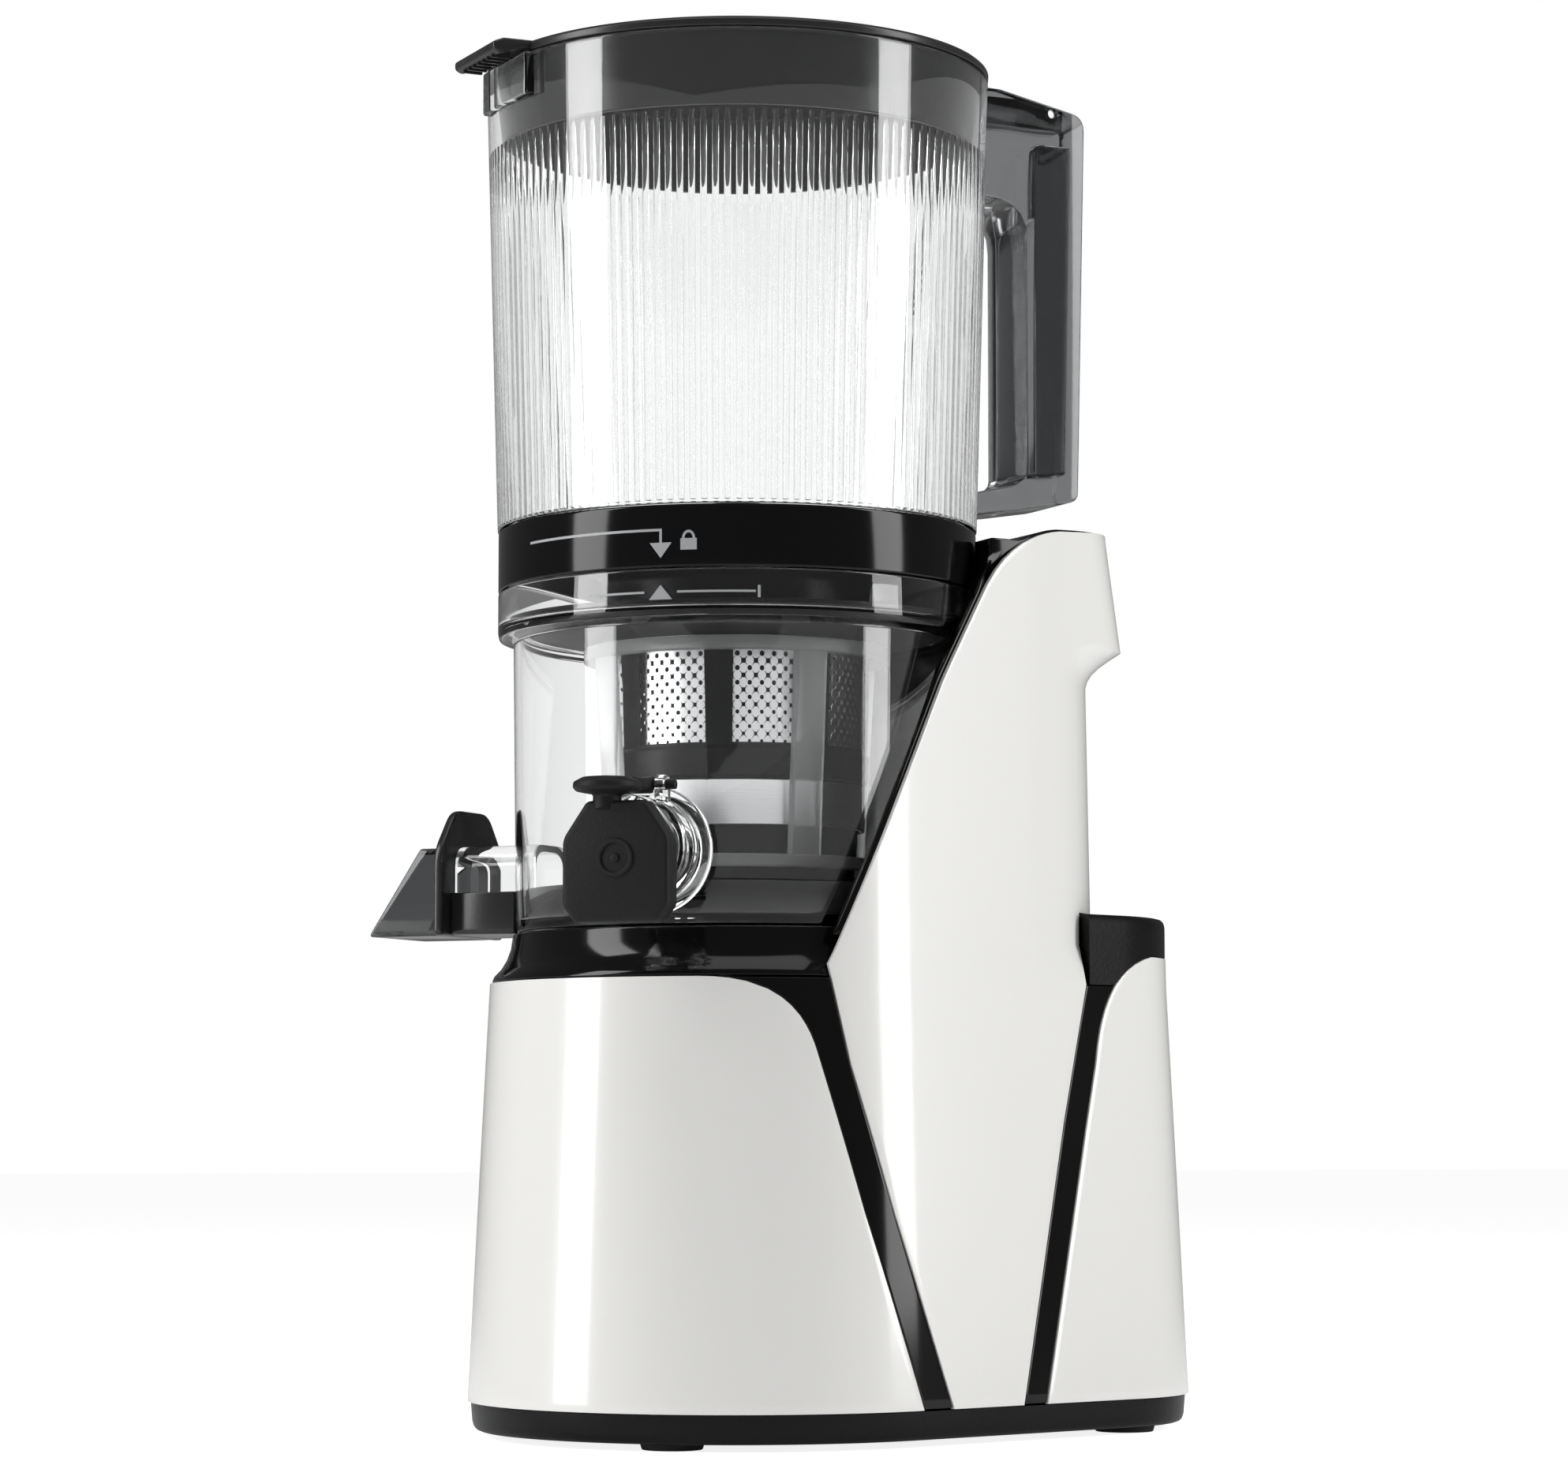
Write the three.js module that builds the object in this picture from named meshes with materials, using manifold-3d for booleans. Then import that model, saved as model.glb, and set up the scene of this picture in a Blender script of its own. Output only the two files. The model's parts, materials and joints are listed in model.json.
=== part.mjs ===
// Vertical slow juicer with a wide ribbed hopper, built as an assembly of separate pieces.
// Millimetres, +Z up. The bowl axis is X = 0, Y = 0, the machine's front faces -Y and its feet stand on Z = 0.
import * as THREE from "three";
import { mergeVertices } from "three/addons/utils/BufferGeometryUtils.js";
import Module from "manifold-3d";

const wasm = await Module();
wasm.setup();

// ---- Driving dimensions ----
const GAP = 0.3; // clearance between neighbouring pieces
const RUNNING_FIT = 0.02; // radial clearance of a shaft in its bearing
const LARGE_SIDES = 32; // sides of the bowl, the rings and the hopper
const SMALL_SIDES = 16; // sides of feet, pins and screws
const SHAFT_SIDES = 20; // sides of shafts and of the bores they run in

const PAN_BOTTOM = 2.3;
const SHELL_BOTTOM = 11.6;
const DECK_EDGE = 145; // top of the white shells, foot of the black collar
const BOWL_SEAT = 161;
const FLANGE_BOTTOM = 257;
const RING_BOTTOM = 272;
const HOPPER_BOTTOM = 292;
const HOPPER_TOP = 441.5;
const LID_TOP = 445;
const HOUSING_TOP = 168; // top of the rear motor housing

const FRONT_R = 80; // plan of the body at the collar: a front circle and a rear circle
const REAR_R = 50;
const REAR_Y = 103;
const TOWER_REAR_Y = 60.2;
const TOWER_REAR_R = FRONT_R - (TOWER_REAR_Y * (FRONT_R - REAR_R)) / REAR_Y;
const BASE_FLARE = 0.0487; // outward growth per millimetre below the collar
const TOWER_TAPER = 0.0152; // inward draft per millimetre above the collar
const SKIN = 1.5; // wall of the white covers
const FRAME_DEPTH = SKIN + GAP; // depth of the black mouldings under the white skin
const BAND_RECESS = 0.3; // how far the black bands sit below the white surface

const BOWL_R = 72.5;
const FLANGE_R = 78;
const LINER_R = 75.3; // inside of the tower round the bowl
const LINER_FLANGE_R = 78.6; // inside of the tower round the flange and the lock ring
const BOWL_WALL = 2.4;

const JUICE_ANGLE = THREE.MathUtils.degToRad(-45); // spout directions in plan, from +X
const PULP_ANGLE = THREE.MathUtils.degToRad(-140);
const DIAL_ANGLE = THREE.MathUtils.degToRad(-160);
const JUICE_Z = 184;
const JUICE_R = 16;
const DIAL_Z = 78;

const GEAR_MODULE = 2;
const TEETH = { motor: 12, idlerLarge: 32, idlerSmall: 12, drive: 36 };
const IDLER_Y = (GEAR_MODULE * (TEETH.idlerSmall + TEETH.drive)) / 2;
const MOTOR_Y = IDLER_Y + (GEAR_MODULE * (TEETH.motor + TEETH.idlerLarge)) / 2;
const CASE_FLOOR = 99;
const CASE_TOP = 127;
const DRIVE_SHAFT_R = 6;
const MOTOR_SHAFT_R = 4;
const IDLER_PIN_R = 4;
const PIN_R = 1.5;

const CAP_HINGE = { rho: 88, z: 203.5 }; // radial distance and height of the spout cap's pivot
const LID_HINGE = { y: 111, z: 440.5 };

// ---- Materials ----
const finish = (color, roughness, metalness = 0, opacity = 1) =>
  new THREE.MeshStandardMaterial({
    color,
    roughness,
    metalness,
    opacity,
    transparent: opacity < 1,
    flatShading: true,
  });
const whiteGloss = finish(0xf0f0ec, 0.2);
const blackGloss = finish(0x0c0c0e, 0.15);
const blackSatin = finish(0x1b1b1d, 0.45);
const darkGrey = finish(0x3c3c3f, 0.3);
const smokyClear = finish(0x55585a, 0.05, 0, 0.35);
const waterClear = finish(0xf4f7f8, 0.03, 0, 0.25);
const softGrey = finish(0x38383a, 0.75);
const rubber = finish(0x151515, 0.85);
const steel = finish(0xc8cacc, 0.25, 1);
const gearNylon = finish(0xe6dfcb, 0.5);
const boardGreen = finish(0x1e5b34, 0.5);

// ---- Solid helpers ----
function solidOf(geometry) {
  const bare = geometry.index ? geometry.toNonIndexed() : geometry.clone();
  bare.deleteAttribute("normal");
  bare.deleteAttribute("uv");
  const merged = mergeVertices(bare, 1e-4);
  return new wasm.Manifold(
    new wasm.Mesh({
      numProp: 3,
      vertProperties: new Float32Array(merged.attributes.position.array),
      triVerts: new Uint32Array(merged.index.array),
    }),
  );
}

function geometryOf(solid) {
  const mesh = solid.getMesh();
  const geometry = new THREE.BufferGeometry();
  geometry.setAttribute("position", new THREE.BufferAttribute(mesh.vertProperties, 3));
  geometry.setIndex(new THREE.BufferAttribute(mesh.triVerts, 1));
  return geometry;
}

function piece(name, solid, material) {
  const mesh = new THREE.Mesh(geometryOf(solid), material);
  mesh.name = name;
  return mesh;
}

// A closed profile of [radius, height] points, anticlockwise, turned about Z.
function turned(profile, sides = LARGE_SIDES) {
  const points = profile.map(([r, z]) => new THREE.Vector2(r, z));
  const onAxis = profile[0][0] === 0;
  if (!onAxis) points.push(points[0].clone());
  return solidOf(new THREE.LatheGeometry(points, sides).rotateX(Math.PI / 2));
}

const disc = (radius, bottom, top, sides = SMALL_SIDES) =>
  turned([[0, bottom], [radius, bottom], [radius, top], [0, top]], sides);

const tube = (outer, inner, bottom, top, sides = LARGE_SIDES) =>
  turned([[inner, bottom], [outer, bottom], [outer, top], [inner, top]], sides);

function block(xRange, yRange, zRange) {
  const size = [xRange, yRange, zRange].map(([low, high]) => high - low);
  const centre = [xRange, yRange, zRange].map(([low, high]) => (low + high) / 2);
  return solidOf(new THREE.BoxGeometry(...size).translate(...centre));
}

// A side-view outline in (Y, Z), extruded from -halfWidth to +halfWidth along X.
function sidePrism(shape, halfWidth = 150, curveSegments = 6) {
  const geometry = new THREE.ExtrudeGeometry(shape, {
    depth: 2 * halfWidth,
    bevelEnabled: false,
    curveSegments,
  });
  const sideways = new THREE.Matrix4().makeBasis(
    new THREE.Vector3(0, 1, 0),
    new THREE.Vector3(0, 0, 1),
    new THREE.Vector3(1, 0, 0),
  );
  return solidOf(geometry.applyMatrix4(sideways).translate(-halfWidth, 0, 0));
}

// A front-view outline in (lateral, Z), extruded along +X: spout pieces are made pointing along +X.
function frontPrism(shape, from, to, curveSegments = 6) {
  const geometry = new THREE.ExtrudeGeometry(shape, {
    depth: to - from,
    bevelEnabled: false,
    curveSegments,
  });
  const facing = new THREE.Matrix4().makeBasis(
    new THREE.Vector3(0, 1, 0),
    new THREE.Vector3(0, 0, 1),
    new THREE.Vector3(1, 0, 0),
  );
  return solidOf(geometry.applyMatrix4(facing).translate(from, 0, 0));
}

// Convex rings with the same number of points, joined one above the other and closed at both ends.
function lofted(rings) {
  const count = rings[0].length;
  const positions = rings.flat().flatMap((p) => [p.x, p.y, p.z]);
  const faces = [];
  for (let level = 0; level + 1 < rings.length; level++) {
    for (let i = 0; i < count; i++) {
      const a = level * count + i;
      const b = level * count + ((i + 1) % count);
      faces.push(a, b, b + count, a, b + count, a + count);
    }
  }
  const last = (rings.length - 1) * count;
  for (let i = 1; i + 1 < count; i++) {
    faces.push(0, i + 1, i);
    faces.push(last, last + i, last + i + 1);
  }
  const geometry = new THREE.BufferGeometry();
  geometry.setAttribute("position", new THREE.Float32BufferAttribute(positions, 3));
  geometry.setIndex(faces);
  return solidOf(geometry);
}

const turnedAboutZ = (solid, angle) => solid.rotate([0, 0, THREE.MathUtils.radToDeg(angle)]);

// A solid made upright about Z, laid so that it points along +X.
const laidAlongX = (solid) => solid.rotate([0, 90, 0]);

// Radius of a bore whose flats just clear a round shaft.
const boreRadius = (shaftRadius) => (shaftRadius + RUNNING_FIT) / Math.cos(Math.PI / SHAFT_SIDES);

const joined = (...solids) => solids.reduce((all, next) => all.add(next));

// The body itself, without any sliver that a cut leaves loose.
function largestBody(solid) {
  const bodies = solid.decompose().sort((a, b) => b.volume() - a.volume());
  return bodies[0];
}

// ---- Body plan ----
const FRONT_STEPS = 20;
const REAR_STEPS = 12;
const TOWER_LIP = [[245, 0], [250, 5], [256, 12.5], [293, 8.5], [300, 7.5]]; // carrying lip: height, reach

// Plan outline at one height: front circle about the bowl axis and rear circle behind it, with tangent sides.
function planRing(z, rearY, frontR, rearR, lip = 0) {
  const lean = Math.asin((frontR - rearR) / rearY);
  const ring = [];
  const arc = (centreY, radius, from, to, steps, reach) => {
    for (let i = 0; i <= steps; i++) {
      const angle = from + ((to - from) * i) / steps;
      const facingBack = THREE.MathUtils.smoothstep(Math.sin(angle), 0.5, 0.95);
      const r = radius + reach * facingBack;
      ring.push(new THREE.Vector3(r * Math.cos(angle), centreY + r * Math.sin(angle), z));
    }
  };
  arc(0, frontR, -Math.PI - lean, lean, FRONT_STEPS, 0);
  arc(rearY, rearR, lean, Math.PI - lean, REAR_STEPS, lip);
  return ring;
}

const drafted = (z) => (DECK_EDGE - z) * (z < DECK_EDGE ? BASE_FLARE : TOWER_TAPER);
const baseRing = (z, inset = 0) =>
  planRing(z, REAR_Y, FRONT_R + drafted(z) - inset, REAR_R + drafted(z) - inset);

// The tapering body below the collar, as a solid from bottom to top, set in from the white surface.
const baseSolid = (inset, bottom, top) => lofted([baseRing(bottom, inset), baseRing(top, inset)]);

// The body with the tower on it: the base plan up to the collar, then the tower plan with its lip.
function towerSolid(inset, bottom, top) {
  const rings = [];
  if (bottom < DECK_EDGE) {
    rings.push(baseRing(bottom, inset));
    rings.push(baseRing(DECK_EDGE, inset));
  }
  const upper = (z, lip) => {
    const grow = drafted(z) - inset;
    rings.push(planRing(z, TOWER_REAR_Y, FRONT_R + grow, TOWER_REAR_R + grow, lip));
  };
  upper(Math.max(bottom, DECK_EDGE + 13), 0);
  for (const [z, lip] of TOWER_LIP) {
    if (z < top) upper(z, lip);
  }
  upper(top, TOWER_LIP.at(-1)[1]);
  return lofted(rings);
}

// Side-view regions of the shells. Margin widens a region all round, to cut its neighbours back.
const FRONT_EDGE = [[-10.3, 122], [4.7, 72], [26, 10]]; // rear edge of the front shell: Y, Z, top down
const PANEL_FRONT = [[38.5, 10], [15.8, 72], [1.1, 118], [-6, 149]]; // front edge of the side panel, bottom up
const PANEL_REAR = [[101, 168.5], [100, 145], [88, 100], [67, 10]]; // rear edge, top down
const BAND_REAR = 10.5; // width of the rear black band

function outlineShape(points) {
  return new THREE.Shape(points.map(([y, z]) => new THREE.Vector2(y, z)));
}

function frontRegion(margin = 0) {
  const shape = new THREE.Shape();
  const [corner, knee, low] = FRONT_EDGE;
  shape.moveTo(-150, 5);
  shape.lineTo(low[0] + margin, 5);
  shape.lineTo(low[0] + margin, low[1]);
  shape.lineTo(knee[0] + margin, knee[1]);
  shape.lineTo(corner[0] + margin, corner[1]);
  shape.quadraticCurveTo(-16.8 + margin, DECK_EDGE + margin, -44, DECK_EDGE + margin);
  shape.lineTo(-150, DECK_EDGE + margin);
  return sidePrism(shape);
}

// The tower cover in side view: the side panel below, the slanted front edge, and the rounded top.
function towerRegion(margin = 0, forward = margin, top = 0) {
  const shape = new THREE.Shape();
  const [low, knee, neck, tip] = PANEL_FRONT;
  shape.moveTo(low[0] - margin, low[1]);
  shape.lineTo(knee[0] - margin, knee[1]);
  shape.lineTo(neck[0] - margin, neck[1]);
  shape.lineTo(tip[0] + 1.2 - margin, tip[1] - 4.5);
  shape.quadraticCurveTo(tip[0] - forward, tip[1], tip[0] + 2.1 - forward, tip[1] + 4.2);
  shape.lineTo(40 - forward, 241);
  shape.lineTo(57.5 - forward, 270);
  shape.quadraticCurveTo(69 - forward, 289 + top, 92, 292.5 + top);
  shape.lineTo(150, 297.5 + top);
  shape.lineTo(150, PANEL_REAR[0][1] - margin);
  for (const [y, z] of PANEL_REAR) shape.lineTo(y + margin, z);
  return sidePrism(shape, 150, 8);
}

function rearRegion(margin = 0) {
  const shape = new THREE.Shape();
  shape.moveTo(PANEL_REAR[3][0] + BAND_REAR - margin, 5);
  shape.lineTo(180, 5);
  shape.lineTo(180, 155.5 + margin);
  shape.lineTo(132, 154.5 + margin);
  shape.quadraticCurveTo(108 - margin, 151.5 + margin, 103.5 - margin, 120);
  shape.lineTo(PANEL_REAR[2][0] + BAND_REAR - margin, 100);
  shape.lineTo(PANEL_REAR[3][0] + BAND_REAR - margin, 10);
  return sidePrism(shape, 150, 8);
}

// ---- Base ----
function basePan() {
  const ring = (z, grow) => planRing(z, REAR_Y, FRONT_R + grow, REAR_R + grow);
  const outside = lofted([
    ring(PAN_BOTTOM, 2.6),
    ring(PAN_BOTTOM + 2.5, 4.8),
    ring(SHELL_BOTTOM - GAP, 5.4),
  ]);
  const inside = lofted([ring(PAN_BOTTOM + 3, 2), ring(SHELL_BOTTOM + 5, 2)]);
  let pan = outside.subtract(inside);
  for (let slot = -2; slot <= 2; slot++) {
    const y = MOTOR_Y + slot * 9;
    pan = pan.subtract(block([-24, 24], [y - 1.6, y + 1.6], [0, PAN_BOTTOM + 4]));
  }
  return piece("base_plate", pan, blackSatin);
}

const FOOT_PLACES = [[-52, -46], [52, -46], [-34, 124], [34, 124]];

function feet() {
  return FOOT_PLACES.map(([x, y], i) => {
    const outline = [[0, 0], [9, 0], [10, 0.8], [10, PAN_BOTTOM - GAP], [0, PAN_BOTTOM - GAP]];
    const foot = piece(`foot_${i + 1}`, turned(outline, SMALL_SIDES), rubber);
    foot.position.set(x, y, 0);
    return foot;
  });
}

const dialHole = (radius) =>
  turnedAboutZ(laidAlongX(disc(radius, 60, 100, SHAFT_SIDES)).translate([0, 0, DIAL_Z]), DIAL_ANGLE);

const INLET_Z = 27;
const inletHole = (radius) =>
  turnedAboutZ(laidAlongX(disc(radius, 140, 175, SMALL_SIDES)).translate([0, 0, INLET_Z]), Math.PI / 2);

const whiteSkin = (top) => baseSolid(0, SHELL_BOTTOM, top).subtract(baseSolid(SKIN, 5, top + 5));

function frontShell() {
  const shell = whiteSkin(DECK_EDGE).intersect(frontRegion());
  return piece("front_shell", shell.subtract(dialHole(6)), whiteGloss);
}

function rearShell() {
  const shell = whiteSkin(158).intersect(rearRegion());
  return piece("rear_shell", shell.subtract(inletHole(7)), whiteGloss);
}

// Black frame under the white shells; it stands nearly flush wherever they leave a band uncovered.
function innerFrame() {
  const top = DECK_EDGE - GAP;
  const bottom = SHELL_BOTTOM + GAP;
  const bands = baseSolid(BAND_RECESS, bottom, top)
    .subtract(frontRegion(GAP))
    .subtract(towerRegion(GAP))
    .subtract(rearRegion(GAP));
  const frame = baseSolid(FRAME_DEPTH, bottom, top)
    .add(bands)
    .subtract(baseSolid(FRAME_DEPTH + 2.2, 5, top + 5))
    .subtract(dialHole(6))
    .subtract(inletHole(7));
  return piece("inner_frame", frame, blackGloss);
}

function rearCap() {
  const crown = lofted([
    baseRing(DECK_EDGE, BAND_RECESS),
    baseRing(HOUSING_TOP - 3, BAND_RECESS),
    baseRing(HOUSING_TOP, BAND_RECESS + 2.2),
  ]);
  const cap = crown
    .subtract(baseSolid(FRAME_DEPTH + 2, 100, HOUSING_TOP - 3))
    .subtract(rearRegion(GAP))
    .subtract(towerSolid(-GAP, DECK_EDGE - 5, 200))
    .intersect(block([-80, 80], [PANEL_REAR[0][0] + GAP, 180], [100, 200]));
  return piece("rear_cap", largestBody(cap), blackSatin);
}

// ---- Tower ----
const TOWER_TOP = 300;

function towerCover() {
  const cover = towerSolid(0, SHELL_BOTTOM, TOWER_TOP)
    .subtract(towerSolid(SKIN, 5, TOWER_TOP + 5))
    .intersect(towerRegion());
  return piece("tower_cover", cover, whiteGloss);
}

// Space kept for the bowl, its flange and the lock ring, widened by a wall thickness for the hollow behind.
const bowlSpace = (wall) =>
  turned([
    [0, 120],
    [LINER_R + wall, 120],
    [LINER_R + wall, 244],
    [LINER_FLANGE_R + wall, 251],
    [LINER_FLANGE_R + wall, 320],
    [0, 320],
  ]);

function towerLiner() {
  const bottom = DECK_EDGE + 1;
  const edge = 3; // black edge seen in front of the white cover
  const outside = towerSolid(FRAME_DEPTH, bottom, TOWER_TOP).intersect(towerRegion(0, edge, 1));
  const hollow = towerSolid(FRAME_DEPTH + 2, bottom, TOWER_TOP)
    .subtract(bowlSpace(2))
    .intersect(towerRegion(-2.5, -2.5, -2.5));
  const open = block([-40, 40], [80, 130], [130, 160]).intersect(
    towerSolid(FRAME_DEPTH + 2, bottom - 10, TOWER_TOP),
  );
  const liner = outside.subtract(bowlSpace(0)).subtract(hollow.add(open.subtract(bowlSpace(2))));
  const above = block([-100, 100], [-100, 150], [bottom, 320]);
  return piece("tower_liner", largestBody(liner.intersect(above)), blackGloss);
}

// Collar and deck that the bowl stands on.
function deck() {
  const collar = turned([
    [18, BOWL_SEAT - 3],
    [68.5, BOWL_SEAT - 3],
    [71, 151],
    [75.5, DECK_EDGE + GAP],
    [79.3, DECK_EDGE + GAP],
    [76.2, 149],
    [73.2, 155],
    [72.2, BOWL_SEAT],
    [18, BOWL_SEAT],
  ]);
  const wings = tube(110, LINER_R - GAP - 0.2, 140, 170).intersect(towerRegion(0.6, 3.6));
  return piece("deck", collar.subtract(wings), blackGloss);
}

// ---- Drive ----
// A spur gear as one closed outline. Half a tooth of turn puts a gap, rather than a tooth, on +X.
function gearSolid(teeth, bottom, top, phase, bore) {
  const pitch = (GEAR_MODULE * teeth) / 2;
  const tip = pitch + 0.8 * GEAR_MODULE;
  const root = pitch - 1.05 * GEAR_MODULE;
  const step = (2 * Math.PI) / teeth;
  const shape = new THREE.Shape();
  for (let i = 0; i < teeth; i++) {
    const centre = phase + i * step;
    const corners = [[root, -0.3], [tip, -0.12], [tip, 0.12], [root, 0.3]];
    for (const [radius, share] of corners) {
      const angle = centre + share * step;
      const x = radius * Math.cos(angle);
      const y = radius * Math.sin(angle);
      if (i === 0 && share === -0.3) shape.moveTo(x, y);
      else shape.lineTo(x, y);
    }
  }
  const body = new THREE.ExtrudeGeometry(shape, { depth: top - bottom, bevelEnabled: false });
  const hole = disc(bore, bottom - 1, top + 1, SHAFT_SIDES);
  return solidOf(body.translate(0, 0, bottom)).subtract(hole);
}

const toothPhase = (teeth, facing, tooth) => facing + (tooth ? 0 : Math.PI / teeth);

function motor() {
  const can = disc(34, 24, CASE_FLOOR - GAP, 24);
  const shaftBore = disc(boreRadius(MOTOR_SHAFT_R), 0, 120, SHAFT_SIDES);
  const shaft = disc(MOTOR_SHAFT_R, 12, 113, SHAFT_SIDES);
  const pinion = gearSolid(TEETH.motor, 103, 112, toothPhase(TEETH.motor, -Math.PI / 2, true), 4.3);
  let fan = tube(10, MOTOR_SHAFT_R + GAP, 14, 21, SHAFT_SIDES).add(tube(29, 9, 19.6, 21, SHAFT_SIDES));
  for (let blade = 0; blade < 8; blade++) {
    const angle = (blade * Math.PI) / 4;
    fan = fan.add(turnedAboutZ(block([9, 28], [-0.7, 0.7], [14, 20]), angle));
  }
  const pieces = [
    piece("motor_can", can.subtract(shaftBore), steel),
    piece("motor_shaft", shaft, steel),
    piece("motor_pinion", pinion, steel),
    piece("motor_fan", fan, blackSatin),
  ];
  for (const mesh of pieces) mesh.position.set(0, MOTOR_Y, 0);
  return pieces;
}

function idler() {
  const bore = boreRadius(IDLER_PIN_R);
  const large = gearSolid(TEETH.idlerLarge, 103, 112, toothPhase(TEETH.idlerLarge, Math.PI / 2, false), bore);
  const small = gearSolid(TEETH.idlerSmall, 111.9, 124, toothPhase(TEETH.idlerSmall, -Math.PI / 2, true), bore);
  const gear = piece("idler_gear", large.add(small), gearNylon);
  const pin = piece("idler_pin", disc(IDLER_PIN_R, 102.3, 126.7, SHAFT_SIDES), steel);
  gear.position.set(0, IDLER_Y, 0);
  pin.position.set(0, IDLER_Y, 0);
  return [gear, pin];
}

function driveTrain() {
  const phase = toothPhase(TEETH.drive, Math.PI / 2, false);
  const gear = gearSolid(TEETH.drive, 114, 124, phase, DRIVE_SHAFT_R + GAP);
  const coupling = disc(5.6, 162, 190, 6);
  const shaft = disc(DRIVE_SHAFT_R, 102.3, 163, SHAFT_SIDES).add(coupling);
  const bore = boreRadius(DRIVE_SHAFT_R);
  return [
    piece("drive_gear", gear, gearNylon),
    piece("drive_shaft", shaft, steel),
    piece("lower_bearing", tube(10, bore, CASE_FLOOR + 3.3, 108, SHAFT_SIDES), steel),
    piece("upper_bearing", tube(12, bore, 125, 134, SHAFT_SIDES), steel),
    piece("shaft_seal", tube(17.7, 6.5, 155, BOWL_SEAT, SHAFT_SIDES), rubber),
  ];
}

const CASE_SCREWS = [[-36, 26], [36, 26], [-24, 84], [24, 84]];

function gearbox() {
  const ring = (z, grow) => planRing(z, MOTOR_Y, 42 + grow, 28 + grow);
  const body = lofted([ring(CASE_FLOOR, 2.5), ring(CASE_TOP, 2.5)]);
  const inside = lofted([ring(CASE_FLOOR + 3, 0), ring(CASE_TOP + 3, 0)]);
  const shaftHole = disc(6, 90, 110, SMALL_SIDES).translate([0, MOTOR_Y, 0]);
  const lid = lofted([ring(CASE_TOP + GAP, 2.5), ring(CASE_TOP + 3.3, 2.5)]);
  const bearingHole = disc(12.3, 120, 140, SHAFT_SIDES);
  const screws = CASE_SCREWS.map(([x, y], i) => {
    const screw = piece(`gearbox_screw_${i + 1}`, disc(3.2, 0, 2.2, SMALL_SIDES), steel);
    screw.position.set(x * 0.8, y, CASE_TOP + 3.6);
    return screw;
  });
  return [
    piece("gearbox_case", body.subtract(inside).subtract(shaftHole), blackSatin),
    piece("gearbox_lid", lid.subtract(bearingHole), blackSatin),
    ...screws,
  ];
}

function electrics() {
  const board = piece("control_board", block([-32, 32], [-0.8, 0.8], [24, 86]), boardGreen);
  board.position.set(0, -50, 0);
  const bore = laidAlongX(disc(boreRadius(4), 40, 90, SHAFT_SIDES));
  const casing = block([58, 74], [-12, 12], [-12, 12]).subtract(bore);
  const knob = turned([
    [0, 66],
    [4, 66],
    [4, 84.5],
    [18, 84.5],
    [18, 93],
    [16.5, 95],
    [0, 95],
  ], SHAFT_SIDES);
  const switchBody = piece("switch_body", casing, blackSatin);
  const dial = piece("power_dial", laidAlongX(knob).add(block([90, 96.5], [-1.5, 1.5], [0, 15])), darkGrey);
  for (const mesh of [switchBody, dial]) {
    mesh.position.set(0, 0, DIAL_Z);
    mesh.rotation.z = DIAL_ANGLE;
  }
  const gland = turned([
    [3.6, 150],
    [6.6, 150],
    [6.6, 159.4],
    [9, 159.4],
    [8, 163],
    [3.6, 163],
  ], SMALL_SIDES);
  const inlet = piece("cord_inlet", laidAlongX(gland), rubber);
  inlet.position.set(0, 0, INLET_Z);
  inlet.rotation.z = Math.PI / 2;
  return [board, switchBody, dial, inlet];
}

// ---- Bowl ----
const TUBE_END = 99.7; // radial reach of the juice tube
const DUCT_END = 97;

function pulpDuctShape(halfWidth, bottom, top) {
  const shape = new THREE.Shape();
  shape.moveTo(-halfWidth, bottom);
  shape.lineTo(halfWidth, bottom);
  shape.lineTo(halfWidth, top - 8);
  shape.quadraticCurveTo(halfWidth, top, 0, top);
  shape.quadraticCurveTo(-halfWidth, top, -halfWidth, top - 8);
  return shape;
}

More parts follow.
